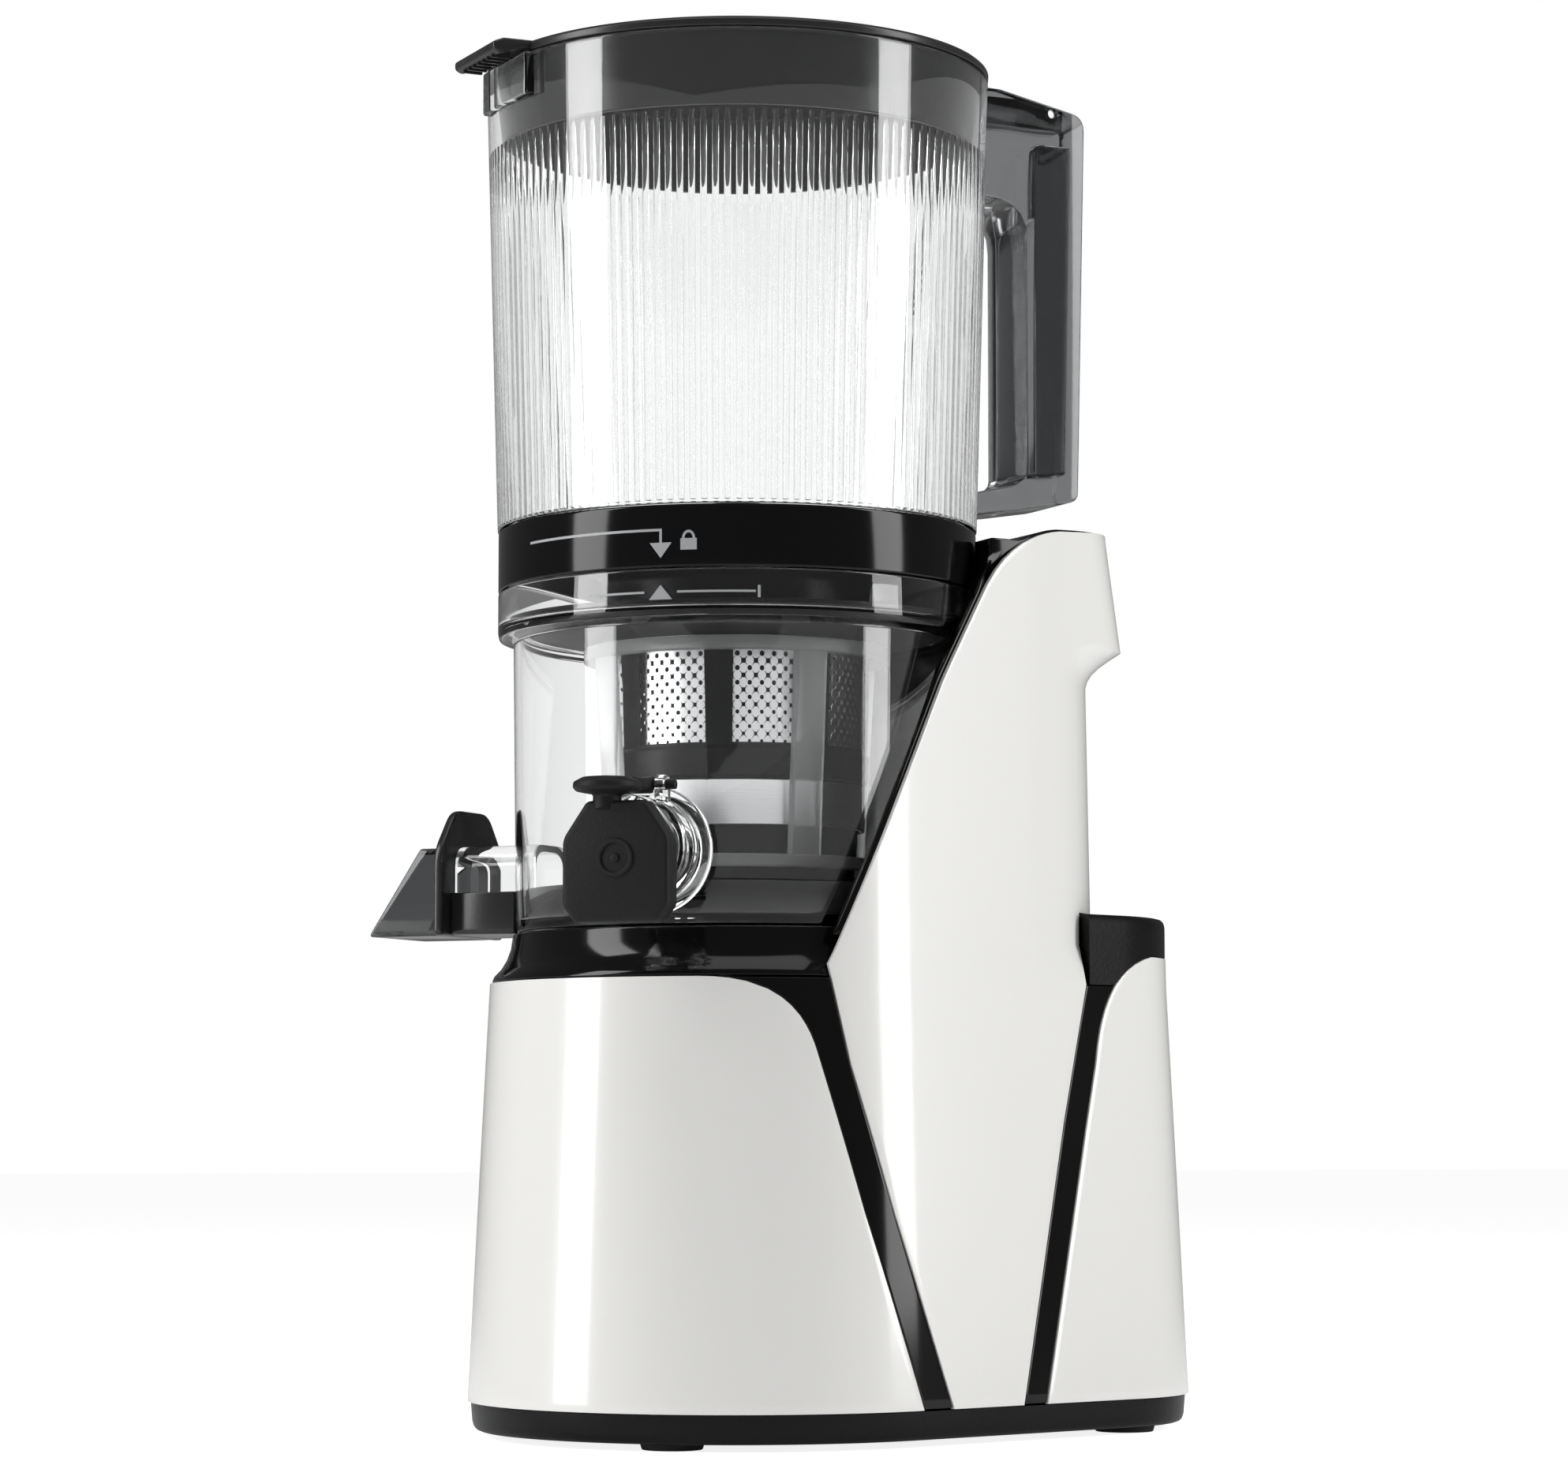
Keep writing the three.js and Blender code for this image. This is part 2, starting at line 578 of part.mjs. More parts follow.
function bowl() {
  const floorTop = BOWL_SEAT + GAP + 2.6;
  const wallInside = BOWL_R - BOWL_WALL;
  const shell = turned([
    [14, BOWL_SEAT + GAP],
    [71.3, BOWL_SEAT + GAP],
    [71.8, 176],
    [BOWL_R + 0.5, FLANGE_BOTTOM],
    [FLANGE_R, FLANGE_BOTTOM + 1.5],
    [FLANGE_R, RING_BOTTOM - 0.2],
    [FLANGE_R - 3, RING_BOTTOM - 0.2],
    [FLANGE_R - 3, FLANGE_BOTTOM + 3.5],
    [wallInside + 0.5, FLANGE_BOTTOM + 1],
    [wallInside - 0.7, 176],
    [wallInside - 1.2, floorTop],
    [16.4, floorTop],
    [16.4, 171],
    [14, 171],
  ]);
  const juiceTube = laidAlongX(disc(JUICE_R, 66, TUBE_END, SHAFT_SIDES));
  const juiceFlange = laidAlongX(disc(JUICE_R + 4, 76, 79, SHAFT_SIDES));
  const juiceBore = laidAlongX(disc(JUICE_R - 2.4, 50, 120, SHAFT_SIDES));
  const aimed = (solid) => turnedAboutZ(solid.translate([0, 0, JUICE_Z]), JUICE_ANGLE);
  const ear = (from, to) => block([84.5, 91.5], [from, to], [198, 206.5]);
  const earHole = disc(PIN_R + GAP, -15, 15, SHAFT_SIDES)
    .rotate([90, 0, 0])
    .translate([CAP_HINGE.rho, 0, CAP_HINGE.z]);
  const ears = turnedAboutZ(ear(6.3, 9).add(ear(-9, -6.3)).subtract(earHole), JUICE_ANGLE);
  const duct = frontPrism(pulpDuctShape(13, 166, 192), 66, DUCT_END);
  const ductBore = frontPrism(pulpDuctShape(10.8, 168, 189.8), 40, 130);
  const outer = shell
    .add(aimed(juiceTube))
    .add(aimed(juiceFlange))
    .add(ears)
    .add(turnedAboutZ(duct, PULP_ANGLE));
  const inside = disc(wallInside - 1.5, floorTop, 230, LARGE_SIDES);
  const wholeBowl = outer
    .subtract(inside.subtract(tube(16.4, 14, 150, 171)))
    .subtract(aimed(juiceBore))
    .subtract(turnedAboutZ(ductBore, PULP_ANGLE));
  return piece("bowl", largestBody(wholeBowl), smokyClear);
}

// Dark tray in the foot of the bowl, notched where juice and pulp leave.
function bowlTray() {
  const bottom = BOWL_SEAT + GAP + 2.9;
  const tray = turned([
    [17, bottom],
    [67.9, bottom],
    [68.6, 175],
    [66, 175],
    [65.4, bottom + 2.4],
    [17, bottom + 2.4],
  ]);
  const notch = (angle, z) => turnedAboutZ(block([50, 90], [-14, 14], [z, 200]), angle);
  const cut = tray.subtract(notch(JUICE_ANGLE, 169)).subtract(notch(PULP_ANGLE, 167.4));
  return piece("bowl_tray", cut, darkGrey);
}

const bowlGasket = () =>
  piece("bowl_gasket", tube(13.7, 7.5, BOWL_SEAT + GAP, 168, SHAFT_SIDES), softGrey);

const MESH_WINDOWS = 8;
const WINDOW_OFFSET = 0.77; // turn of the first window, in window pitches

function strainerFrame() {
  const wall = turned([
    [33, 172],
    [37.5, 172],
    [39.2, 193],
    [39.6, 209.5],
    [42.9, 209.8],
    [43.9, 254],
    [68.9, 258.6],
    [68.9, 261],
    [73.8, 261],
    [73.8, 262.8],
    [66.5, 262.8],
    [65, 261.2],
    [42, 261.2],
    [41.2, 212],
    [37.4, 210],
    [35, 175],
    [33, 175],
  ]);
  let frame = wall;
  for (let i = 0; i < MESH_WINDOWS; i++) {
    const angle = ((i + WINDOW_OFFSET) * 2 * Math.PI) / MESH_WINDOWS;
    frame = frame.subtract(turnedAboutZ(block([30, 60], [-12.2, 12.2], [220.5, 251.6]), angle));
  }
  return piece("strainer_frame", frame, blackSatin);
}

function strainerMetal() {
  const basket = turned([[39.4, 212.4], [40.6, 212.4], [41.4, 256], [40.2, 256]]);
  const cone = turned([[40, 194.3], [41.6, 194.3], [42.6, 208.8], [40.2, 208.8]]);
  return [piece("strainer_basket", basket, steel), piece("strainer_cone", cone, steel)];
}

function pulpPieces() {
  const channel = frontPrism(pulpDuctShape(15.6, 162.3, 190), 73.6, DUCT_END)
    .subtract(frontPrism(pulpDuctShape(13.3, 165.7, 205), 60, 110))
    .subtract(block([60, 110], [-20, 20], [176.3, 210]));
  const collar = frontPrism(pulpDuctShape(22, 162, 204), DUCT_END + GAP, DUCT_END + 3.3)
    .subtract(frontPrism(pulpDuctShape(10.8, 168, 189.8), 90, 110));
  const wedge = outlineShape([[100.6, 162], [127, 162], [107.5, 191], [100.6, 191]]);
  const hollow = outlineShape([[90, 164], [140, 164], [140, 189], [90, 189]]);
  const nozzle = sidePrism(wedge, 18).subtract(sidePrism(hollow, 16));
  const aimed = nozzle.rotate([0, 0, -90]);
  const pieces = [
    piece("pulp_channel", channel, darkGrey),
    piece("pulp_collar", collar, darkGrey),
    piece("pulp_nozzle", aimed, smokyClear),
  ];
  for (const mesh of pieces) mesh.rotation.z = PULP_ANGLE;
  return pieces;
}

function capShape() {
  return outlineShape([
    [-14, 160.5],
    [14, 160.5],
    [17.4, 165],
    [17.4, 185],
    [9, 197.5],
    [-9, 197.5],
    [-17.4, 185],
    [-17.4, 165],
  ]);
}

function juiceCap() {
  const acrossPin = (solid) => solid.rotate([90, 0, 0]).translate([CAP_HINGE.rho, 0, CAP_HINGE.z]);
  const knob = turned([[0, 195], [4, 195], [4, 199.6], [10.5, 200.6], [10.5, 203.4], [8, 205], [0, 205]], SHAFT_SIDES);
  const body = frontPrism(capShape(), TUBE_END + GAP, 108.5)
    .add(laidAlongX(disc(5.8, 108, 109.2, SHAFT_SIDES)).translate([0, 0, 180]))
    .add(knob.translate([104.6, -4, 0]))
    .add(block([87, 102], [-5, 5], [201.8, 205]))
    .add(acrossPin(disc(3.2, -5.8, 5.8, SHAFT_SIDES)))
    .subtract(acrossPin(disc(boreRadius(PIN_R), -10, 10, SHAFT_SIDES)));
  const seal = laidAlongX(disc(8, 97.6, TUBE_END, SHAFT_SIDES)).translate([0, 0, 181]);
  const pin = acrossPin(disc(PIN_R, -8.8, 8.8, SHAFT_SIDES));
  const pieces = [
    piece("juice_cap", body, softGrey),
    piece("cap_seal", seal, softGrey),
    piece("cap_hinge_pin", pin, steel),
  ];
  for (const mesh of pieces) mesh.rotation.z = JUICE_ANGLE;
  return pieces;
}

// A helical flight as a chain of four-cornered sections from inner to outer radius.
function flight(startAngle, turns, bottom, top, innerR, outerR, thickness) {
  const steps = Math.round(turns * 12);
  const rings = [];
  for (let i = 0; i <= steps; i++) {
    const along = i / steps;
    const angle = startAngle + turns * 2 * Math.PI * along;
    const z = THREE.MathUtils.lerp(bottom, top, along);
    const corner = (r, dz) => new THREE.Vector3(r * Math.cos(angle), r * Math.sin(angle), z + dz);
    const half = thickness / 2;
    rings.push([
      corner(innerR, half * 1.6),
      corner(outerR(z), half),
      corner(outerR(z), -half),
      corner(innerR, -half * 1.6),
    ]);
  }
  return lofted(rings);
}

function auger() {
  const core = turned([
    [7, 176.5],
    [12, 176.5],
    [22, 196],
    [25, 215],
    [22, 262],
    [27, 268],
    [24, 290],
    [14, 301],
    [0, 304],
    [0, 193],
    [7, 193],
  ], SHAFT_SIDES);
  const reach = (z) => THREE.MathUtils.mapLinear(z, 180, 256, 31.5, 36);
  let screw = core;
  for (const start of [0, Math.PI]) screw = screw.add(flight(start, 1.25, 184, 252, 12, reach, 4));
  return piece("auger", screw, darkGrey);
}

const BRUSH_BARS = 4;
const BRUSH_OFFSET = 0.044; // turn of the first bar, in bar pitches

// A strip that stands up along the strainer, each end given as [height, inner radius, outer radius].
function uprightStrip(half, foot, head) {
  const section = ([z, inner, outer]) =>
    [[inner, -half], [outer, -half], [outer, half], [inner, half]].map(
      ([x, y]) => new THREE.Vector3(x, y, z),
    );
  return lofted([section(foot), section(head)]);
}

// Frame of upright bars that turns round the strainer, and a soft blade behind every second bar.
function brush() {
  let frame = tube(50, 46.3, 249.5, 254).add(tube(45.6, 41.4, 181, 185));
  const blades = [];
  for (let i = 0; i < BRUSH_BARS; i++) {
    const angle = ((i + BRUSH_OFFSET) * 2 * Math.PI) / BRUSH_BARS;
    const bar = uprightStrip(5.5, [183, 41.6, 45], [252, 46.4, 49.6]);
    frame = frame.add(turnedAboutZ(bar, angle));
    if (i % 2) continue;
    const blade = uprightStrip(1, [226, 43.6, 44.25], [249, 44.15, 45.8]);
    blades.push(piece(`brush_blade_${blades.length + 1}`, turnedAboutZ(blade, angle), softGrey));
  }
  return [piece("brush_frame", frame, smokyClear), ...blades];
}

// ---- Hopper ----
const hopperOuter = (z) => THREE.MathUtils.mapLinear(z, HOPPER_BOTTOM, HOPPER_TOP, 78.3, 82.6);
const HOPPER_WALL = 3;

function hopper() {
  const low = HOPPER_BOTTOM + 0.2;
  const wall = turned([
    [hopperOuter(low) - HOPPER_WALL, low],
    [hopperOuter(low), low],
    [hopperOuter(HOPPER_TOP), HOPPER_TOP],
    [hopperOuter(HOPPER_TOP) - HOPPER_WALL, HOPPER_TOP],
  ]);
  const latch = block([-18, 18], [-83.4, -76], [427, HOPPER_TOP - 0.4]);
  const bore = turned([
    [0, low],
    [hopperOuter(low) - HOPPER_WALL, low],
    [hopperOuter(HOPPER_TOP) - HOPPER_WALL, HOPPER_TOP],
    [hopperOuter(HOPPER_TOP) - HOPPER_WALL, 460],
    [0, 460],
  ]);
  return piece("hopper", joined(wall, latch).subtract(bore), waterClear);
}

const lockRing = () => {
  const bottom = RING_BOTTOM + 0.1;
  const top = HOPPER_BOTTOM - 0.1;
  return piece(
    "lock_ring",
    turned([
      [75, bottom],
      [77.2, bottom],
      [FLANGE_R, bottom + 0.8],
      [FLANGE_R, top - 0.8],
      [77.4, top],
      [75, top],
    ]),
    blackGloss,
  );
};

const hopperFloor = () =>
  piece(
    "hopper_floor",
    turned([
      [40, 263],
      [43, 263],
      [43, 272],
      [74.7, 284],
      [74.7, 291.7],
      [72.5, 291.7],
      [72, 286.5],
      [40, 275],
    ]),
    blackSatin,
  );

function handle() {
  const outline = new THREE.Shape();
  outline.moveTo(70, 301.5);
  outline.lineTo(84, 302.5);
  outline.lineTo(114.5, 307.5);
  outline.quadraticCurveTo(120, 308.5, 120.2, 314);
  outline.lineTo(123.3, 433);
  outline.quadraticCurveTo(123.4, 440, 117.5, 442);
  outline.lineTo(91, 447);
  outline.lineTo(70, 447.5);
  const grip = new THREE.Path();
  grip.moveTo(70, 306);
  grip.lineTo(96, 313);
  grip.quadraticCurveTo(100.5, 314.5, 100.5, 320);
  grip.lineTo(100.5, 396);
  grip.quadraticCurveTo(100.5, 410, 88, 410);
  grip.lineTo(70, 410);
  const opening = sidePrism(new THREE.Shape(grip.getPoints(4)), 20, 4);
  const hopperSpace = turned([
    [0, 280],
    [hopperOuter(280) + GAP, 280],
    [hopperOuter(460) + GAP, 460],
    [0, 460],
  ]);
  const slot = block([-7.5, 7.5], [70, LID_HINGE.y + 6], [LID_HINGE.z - 5, 460]);
  const pinHole = disc(PIN_R + GAP, -20, 20, SHAFT_SIDES).rotate([0, 90, 0]).translate([0, LID_HINGE.y, LID_HINGE.z]);
  const rimSpace = block([-20, 20], [70, 84.4], [HOPPER_TOP - 0.2, 460]);
  const solid = sidePrism(outline, 14, 4)
    .subtract(opening)
    .subtract(hopperSpace)
    .subtract(rimSpace)
    .subtract(slot)
    .subtract(pinHole);
  return piece("handle", solid, darkGrey);
}

function lid() {
  const cover = turned([
    [0, HOPPER_TOP + 0.4],
    [75.6, HOPPER_TOP + 0.4],
    [74, 418],
    [76.2, 418],
    [78.6, HOPPER_TOP + GAP],
    [82.8, HOPPER_TOP + GAP],
    [82.8, LID_TOP - 1.1],
    [81.6, LID_TOP],
    [0, LID_TOP],
  ]);
  const tab = outlineShape([
    [-70, 442],
    [-84.6, 442],
    [-87.5, 440.8],
    [-91.2, 439.7],
    [-93.4, 440.6],
    [-93.8, 442.8],
    [-91, 444.6],
    [-85, LID_TOP],
    [-70, LID_TOP],
  ].reverse());
  const barrel = disc(3.5, -7, 7, SHAFT_SIDES).rotate([0, 90, 0]).translate([0, LID_HINGE.y, LID_HINGE.z]);
  const bore = disc(boreRadius(PIN_R), -10, 10, SHAFT_SIDES)
    .rotate([0, 90, 0])
    .translate([0, LID_HINGE.y, LID_HINGE.z]);
  const arm = block([-7, 7], [74, LID_HINGE.y], [HOPPER_TOP + 0.5, LID_TOP]);
  return piece("lid", joined(cover, sidePrism(tab, 17), arm, barrel).subtract(bore), darkGrey);
}

const lidHingePin = () =>
  piece(
    "lid_hinge_pin",
    disc(PIN_R, -13, 13, SHAFT_SIDES).rotate([0, 90, 0]).translate([0, LID_HINGE.y, LID_HINGE.z]),
    steel,
  );

// ---- Assembly ----
function assembly(...members) {
  const group = new THREE.Group();
  group.add(...members.flat());
  return group;
}

const base = assembly(
  basePan(),
  feet(),
  frontShell(),
  rearShell(),
  innerFrame(),
  rearCap(),
  towerCover(),
  towerLiner(),
  deck(),
  gearbox(),
  motor(),
  idler(),
  driveTrain(),
  electrics(),
);
const juicingSet = assembly(
  bowl(),
  bowlTray(),
  bowlGasket(),
  strainerFrame(),
  strainerMetal(),
  pulpPieces(),
  juiceCap(),
  auger(),
  brush(),
);
const feedSet = assembly(hopper(), lockRing(), hopperFloor(), handle(), lid(), lidHingePin());

// The part's origin is under the middle of the whole machine, on the surface it stands on.
const machine = assembly(base, juicingSet, feedSet);
const extent = new THREE.Box3().setFromObject(machine);
const middle = extent.getCenter(new THREE.Vector3());
machine.position.set(-middle.x, -middle.y, -extent.min.z);

const juicer = new THREE.Group();
juicer.add(machine);

export default juicer;
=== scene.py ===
import json
import math

import bmesh
import bpy
from mathutils import Matrix, Vector


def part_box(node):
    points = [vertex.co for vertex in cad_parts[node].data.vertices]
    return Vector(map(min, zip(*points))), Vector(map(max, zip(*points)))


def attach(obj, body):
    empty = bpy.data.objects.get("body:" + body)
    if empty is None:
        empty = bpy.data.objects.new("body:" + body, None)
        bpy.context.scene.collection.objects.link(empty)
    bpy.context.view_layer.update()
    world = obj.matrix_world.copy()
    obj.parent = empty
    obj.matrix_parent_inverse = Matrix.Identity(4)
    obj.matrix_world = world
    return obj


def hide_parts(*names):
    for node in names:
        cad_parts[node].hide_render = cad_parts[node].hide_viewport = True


bl_info = {
    "name": "Slow juicer",
    "version": (1, 0, 0),
    "blender": (4, 5, 0),
    "location": "3D View > Sidebar > Juicer",
    "description": "Finished pieces and finishes for a vertical slow juicer on its packed frame",
    "category": "Object",
}

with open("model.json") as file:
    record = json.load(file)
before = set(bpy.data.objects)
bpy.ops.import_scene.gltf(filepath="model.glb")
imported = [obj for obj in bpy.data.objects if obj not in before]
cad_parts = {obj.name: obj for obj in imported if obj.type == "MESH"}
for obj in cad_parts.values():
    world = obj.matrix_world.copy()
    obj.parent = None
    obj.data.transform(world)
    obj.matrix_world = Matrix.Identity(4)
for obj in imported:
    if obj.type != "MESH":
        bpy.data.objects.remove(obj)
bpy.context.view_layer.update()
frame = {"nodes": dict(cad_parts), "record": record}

# ---- Places taken from the frame: the bowl axis, and the main heights in millimetres ----
MM = 0.001
RING_LOW, RING_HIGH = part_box("lock_ring")
AXIS = (Vector(RING_LOW) + Vector(RING_HIGH)) / 2


def height(node, top):
    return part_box(node)[1 if top else 0][2] / MM


SHELL_BOTTOM = height("front_shell", False)
DECK_EDGE = height("front_shell", True)
DECK_TOP = height("deck", True)
BOWL_FOOT = height("bowl", False)
BOWL_TOP = height("bowl", True)
RING_TOP = height("lock_ring", True)
HOPPER_FOOT = height("hopper", False)
HOPPER_TOP = height("hopper", True)
HOUSING_TOP = height("rear_cap", True)
FLANGE_R = (RING_HIGH[0] - RING_LOW[0]) / 2 / MM

# ---- Plan of the body, in millimetres from the bowl axis ----
FRONT_R = 80.0  # circle round the bowl axis
REAR_R = 50.0  # circle at the back of the base
REAR_Y = 103.0  # distance of the back circle's centre behind the bowl axis
LEAN = math.asin((FRONT_R - REAR_R) / REAR_Y)  # angle of the flat sides that touch both circles
TOWER_REAR_Y = 60.2  # centre of the circle at the tower's back, behind the bowl axis
TOWER_REAR_R = FRONT_R - TOWER_REAR_Y * math.sin(LEAN)
BASE_FLARE = 0.0487  # growth of the plan per millimetre below the deck edge
TOWER_TAPER = 0.0152  # shrinking of the plan per millimetre above it
SKIN = 1.5  # thickness of the covers
SEAM = 0.35  # gap between neighbouring mouldings
BAND_RECESS = 0.35  # how far the black bands sit below the covers
LINER_INSET = 1.8  # how far the liner's outside is below the covers
MORPH = 13.0  # height over which the base plan turns into the tower plan
LIP_FOOT, LIP_TIP, LIP_REACH = 243.0, 256.0, 12.5
LINER_R, LINER_FLANGE_R = 75.3, 78.6

# ---- Directions of the outlets and the dial about the bowl axis, and the pins as (reach, height) ----
JUICE_ANGLE = math.radians(-45)
PULP_ANGLE = math.radians(-140)
DIAL_ANGLE = math.radians(-160)
JUICE_Z = 184.0
CAP_HINGE = (88.0, 203.5)
LID_HINGE = (111.0, 440.5)
WINDOW_OFFSET = 0.77  # turn of the strainer's first window, in window pitches
BRUSH_OFFSET = 0.044  # turn of the brush's first bar, in bar pitches


# ---- Plain geometry ----
def lerp(a, b, t):
    return a + (b - a) * t


def steps(start, end, count):
    return [lerp(start, end, i / count) for i in range(count + 1)]


def smooth(low, high, value):
    t = min(max((value - low) / (high - low), 0.0), 1.0)
    return t * t * (3 - 2 * t)


def through(points, value):
    """Straight-line interpolation through (value, result) pairs in rising order."""
    for (v0, r0), (v1, r1) in zip(points, points[1:]):
        if value <= v1:
            return lerp(r0, r1, max(0.0, (value - v0) / (v1 - v0)))
    return points[-1][1]


def curve_points(start, control, end, count):
    """A quadratic curve's points, from start to end."""
    found = []
    for t in steps(0.0, 1.0, count):
        a, b, c = (1 - t) ** 2, 2 * t * (1 - t), t * t
        found.append(tuple(a * s + b * k + c * e for s, k, e in zip(start, control, end)))
    return found


def rounded(corners, segments=4, closed=True):
    """An outline's (x, y, radius) corners as points, with each radius made an arc."""
    outline = []
    count = len(corners)
    for i, corner in enumerate(corners):
        x, y = corner[:2]
        radius = corner[2] if len(corner) > 2 else 0.0
        ends = not closed and i in (0, count - 1)
        if radius <= 0 or ends:
            outline.append((x, y))
            continue
        here = Vector((x, y))
        before = Vector(corners[i - 1][:2]) - here
        after = Vector(corners[(i + 1) % count][:2]) - here
        half = before.angle(after) / 2
        reach = min(radius / math.tan(half), before.length * 0.49, after.length * 0.49)
        start = here + before.normalized() * reach
        end = here + after.normalized() * reach
        outline += [tuple(p) for p in curve_points(start, here, end, segments)]
    return outline


def linked(name, data):
    """A new object that holds the data, in the scene."""
    obj = bpy.data.objects.new(name, data)
    bpy.context.scene.collection.objects.link(obj)
    return obj


def make_object(name, verts, faces, smooth_angle=35.0):
    """A mesh object from points in millimetres about the bowl axis."""
    mesh = bpy.data.meshes.new(name)
    mesh.from_pydata([(AXIS.x + x * MM, AXIS.y + y * MM, z * MM) for x, y, z in verts], [], faces)
    obj = linked(name, mesh)
    weld(obj)
    soften(obj, smooth_angle)
    return obj


def weld(obj, outward=False):
    """Joins points that meet and drops empty faces; outward also turns every face outwards."""
    work = bmesh.new()
    work.from_mesh(obj.data)
    bmesh.ops.remove_doubles(work, verts=work.verts, dist=1e-6)
    bmesh.ops.dissolve_degenerate(work, edges=work.edges, dist=1e-7)
    if outward:
        bmesh.ops.recalc_face_normals(work, faces=work.faces)
    work.to_mesh(obj.data)
    work.free()


def soften(obj, angle=35.0):
    """Smooth shading, with an edge kept sharp where its faces meet at more than the angle."""
    work = bmesh.new()
    work.from_mesh(obj.data)
    limit = math.radians(angle)
    for face in work.faces:
        face.smooth = True
    for edge in work.edges:
        edge.smooth = len(edge.link_faces) != 2 or edge.calc_face_angle() < limit
    work.to_mesh(obj.data)
    work.free()


def settle(obj, angle=35.0):
    """Turns an object's modifiers into its own mesh."""
    graph = bpy.context.evaluated_depsgraph_get()
    done = bpy.data.meshes.new_from_object(obj.evaluated_get(graph))
    obj.modifiers.clear()
    obj.data = done
    soften(obj, angle)
    return obj


def bevelled(obj, width, segments=3, limit=40.0):
    """Rounds the edges that turn by more than the limit, in degrees; the width is in millimetres."""
    edge = obj.modifiers.new("Edge", "BEVEL")
    edge.width = width * MM
    edge.segments = segments
    edge.limit_method = "ANGLE"
    edge.angle_limit = math.radians(limit)
    edge.use_clamp_overlap = True
    return settle(obj, limit)


def cut(obj, *tools):
    """Takes tool objects away from obj and deletes them."""
    for tool in tools:
        step = obj.modifiers.new("Cut", "BOOLEAN")
        step.operation = "DIFFERENCE"
        step.solver = "EXACT"
        step.object = tool
        bpy.context.view_layer.update()
        settle(obj)
        bpy.data.objects.remove(tool)
    return obj


def merged(name, *parts):
    """One object from several, with no boolean."""
    work = bmesh.new()
    for part in parts:
        work.from_mesh(part.data)
    mesh = bpy.data.meshes.new(name)
    work.to_mesh(mesh)
    work.free()
    for part in parts:
        bpy.data.objects.remove(part)
    obj = linked(name, mesh)
    soften(obj)
    return obj


def aimed(obj, angle):
    """Turns a piece that was made pointing along +X about the bowl axis."""
    centre = Matrix.Translation((AXIS.x, AXIS.y, 0))
    obj.data.transform(centre @ Matrix.Rotation(angle, 4, "Z") @ centre.inverted())
    return obj


def turned(name, corners, sides=128, reach=None, segments=4, close=True):
    """A closed (radius, z, fillet) outline, anticlockwise, turned about the bowl axis.
    reach(angle, r, z) may change the radius round the turn."""
    profile = rounded(corners, segments, closed=close)
    verts, faces = [], []
    for i in range(sides):
        angle = 2 * math.pi * i / sides
        for r, z in profile:
            real = reach(angle, r, z) if reach else r
            verts.append((real * math.cos(angle), real * math.sin(angle), z))
    n = len(profile)
    for i in range(sides):
        here, there = i * n, ((i + 1) % sides) * n
        for j in range(n if close else n - 1):
            k = (j + 1) % n
            faces.append((here + j, there + j, there + k, here + k))
    return make_object(name, verts, faces)


def lofted(name, rings, angle=35.0):
    """Rings of equal length joined in order and closed at both ends."""
    n = len(rings[0])
    verts = [p for ring in rings for p in ring]
    faces = []
    for level in range(len(rings) - 1):
        for i in range(n):
            a, b = level * n + i, level * n + (i + 1) % n
            faces.append((a, b, b + n, a + n))
    faces.append(tuple(range(n - 1, -1, -1)))
    last = (len(rings) - 1) * n
    faces.append(tuple(range(last, last + n)))
    return make_object(name, verts, faces, angle)


def solid(name, rings):
    """Rings joined in order as a closed piece whose faces point outwards."""
    obj = lofted(name, rings)
    weld(obj, outward=True)
    return obj


def along_x(outline, low, high):
    """A (y, z) outline swept along X."""
    return [[(x, y, z) for y, z in outline] for x in (low, high)]


def along_y(outline, low, high):
    """An (x, z) outline swept along Y."""
    return [[(x, y, z) for x, z in outline] for y in (low, high)]


def side_plate(name, corners, half_width, edge=0.8, segments=5):
    """A (y, z, fillet) outline swept across X, with softened edges."""
    obj = solid(name, along_x(rounded(corners, segments), -half_width, half_width))
    return bevelled(obj, edge, 3, 50) if edge else obj


def rod(name, radius, start, end, sides=48, edge=0.0):
    """A round bar between two points."""
    start, end = Vector(start), Vector(end)
    facing = (end - start).to_track_quat("Z", "Y")
    length = (end - start).length
    profile = [
        (0, 0), (radius - edge, 0), (radius, edge),
        (radius, length - edge), (radius - edge, length), (0, length),
    ]
    verts, faces = [], []
    for i in range(sides):
        angle = 2 * math.pi * i / sides
        for r, z in profile:
            verts.append(start + facing @ Vector((r * math.cos(angle), r * math.sin(angle), z)))
    n = len(profile)
    for i in range(sides):
        here, there = i * n, ((i + 1) % sides) * n
        for j in range(n - 1):
            faces.append((here + j, there + j, there + j + 1, here + j + 1))
    obj = make_object(name, [tuple(v) for v in verts], faces)
    weld(obj, outward=True)
    return obj


def brick(name, x, y, z):
    """A plain box between (low, high) ranges."""
    outline = [(y[0], z[0]), (y[1], z[0]), (y[1], z[1]), (y[0], z[1])]
    return solid(name, along_x(outline, *x))


def dress(obj, body, slot, material, *nodes):
    """Puts a finished piece on its body with its finish, and hides the CAD nodes it stands for."""
    obj.data.materials.clear()
    obj.data.materials.append(material)
    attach(obj, body)
    if nodes:
        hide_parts(*nodes)
    return obj


# ---- The body's surface ----
def drafted(z):
    """How much wider the covers are at a height than at the deck's edge."""
    return (DECK_EDGE - z) * (BASE_FLARE if z < DECK_EDGE else TOWER_TAPER)


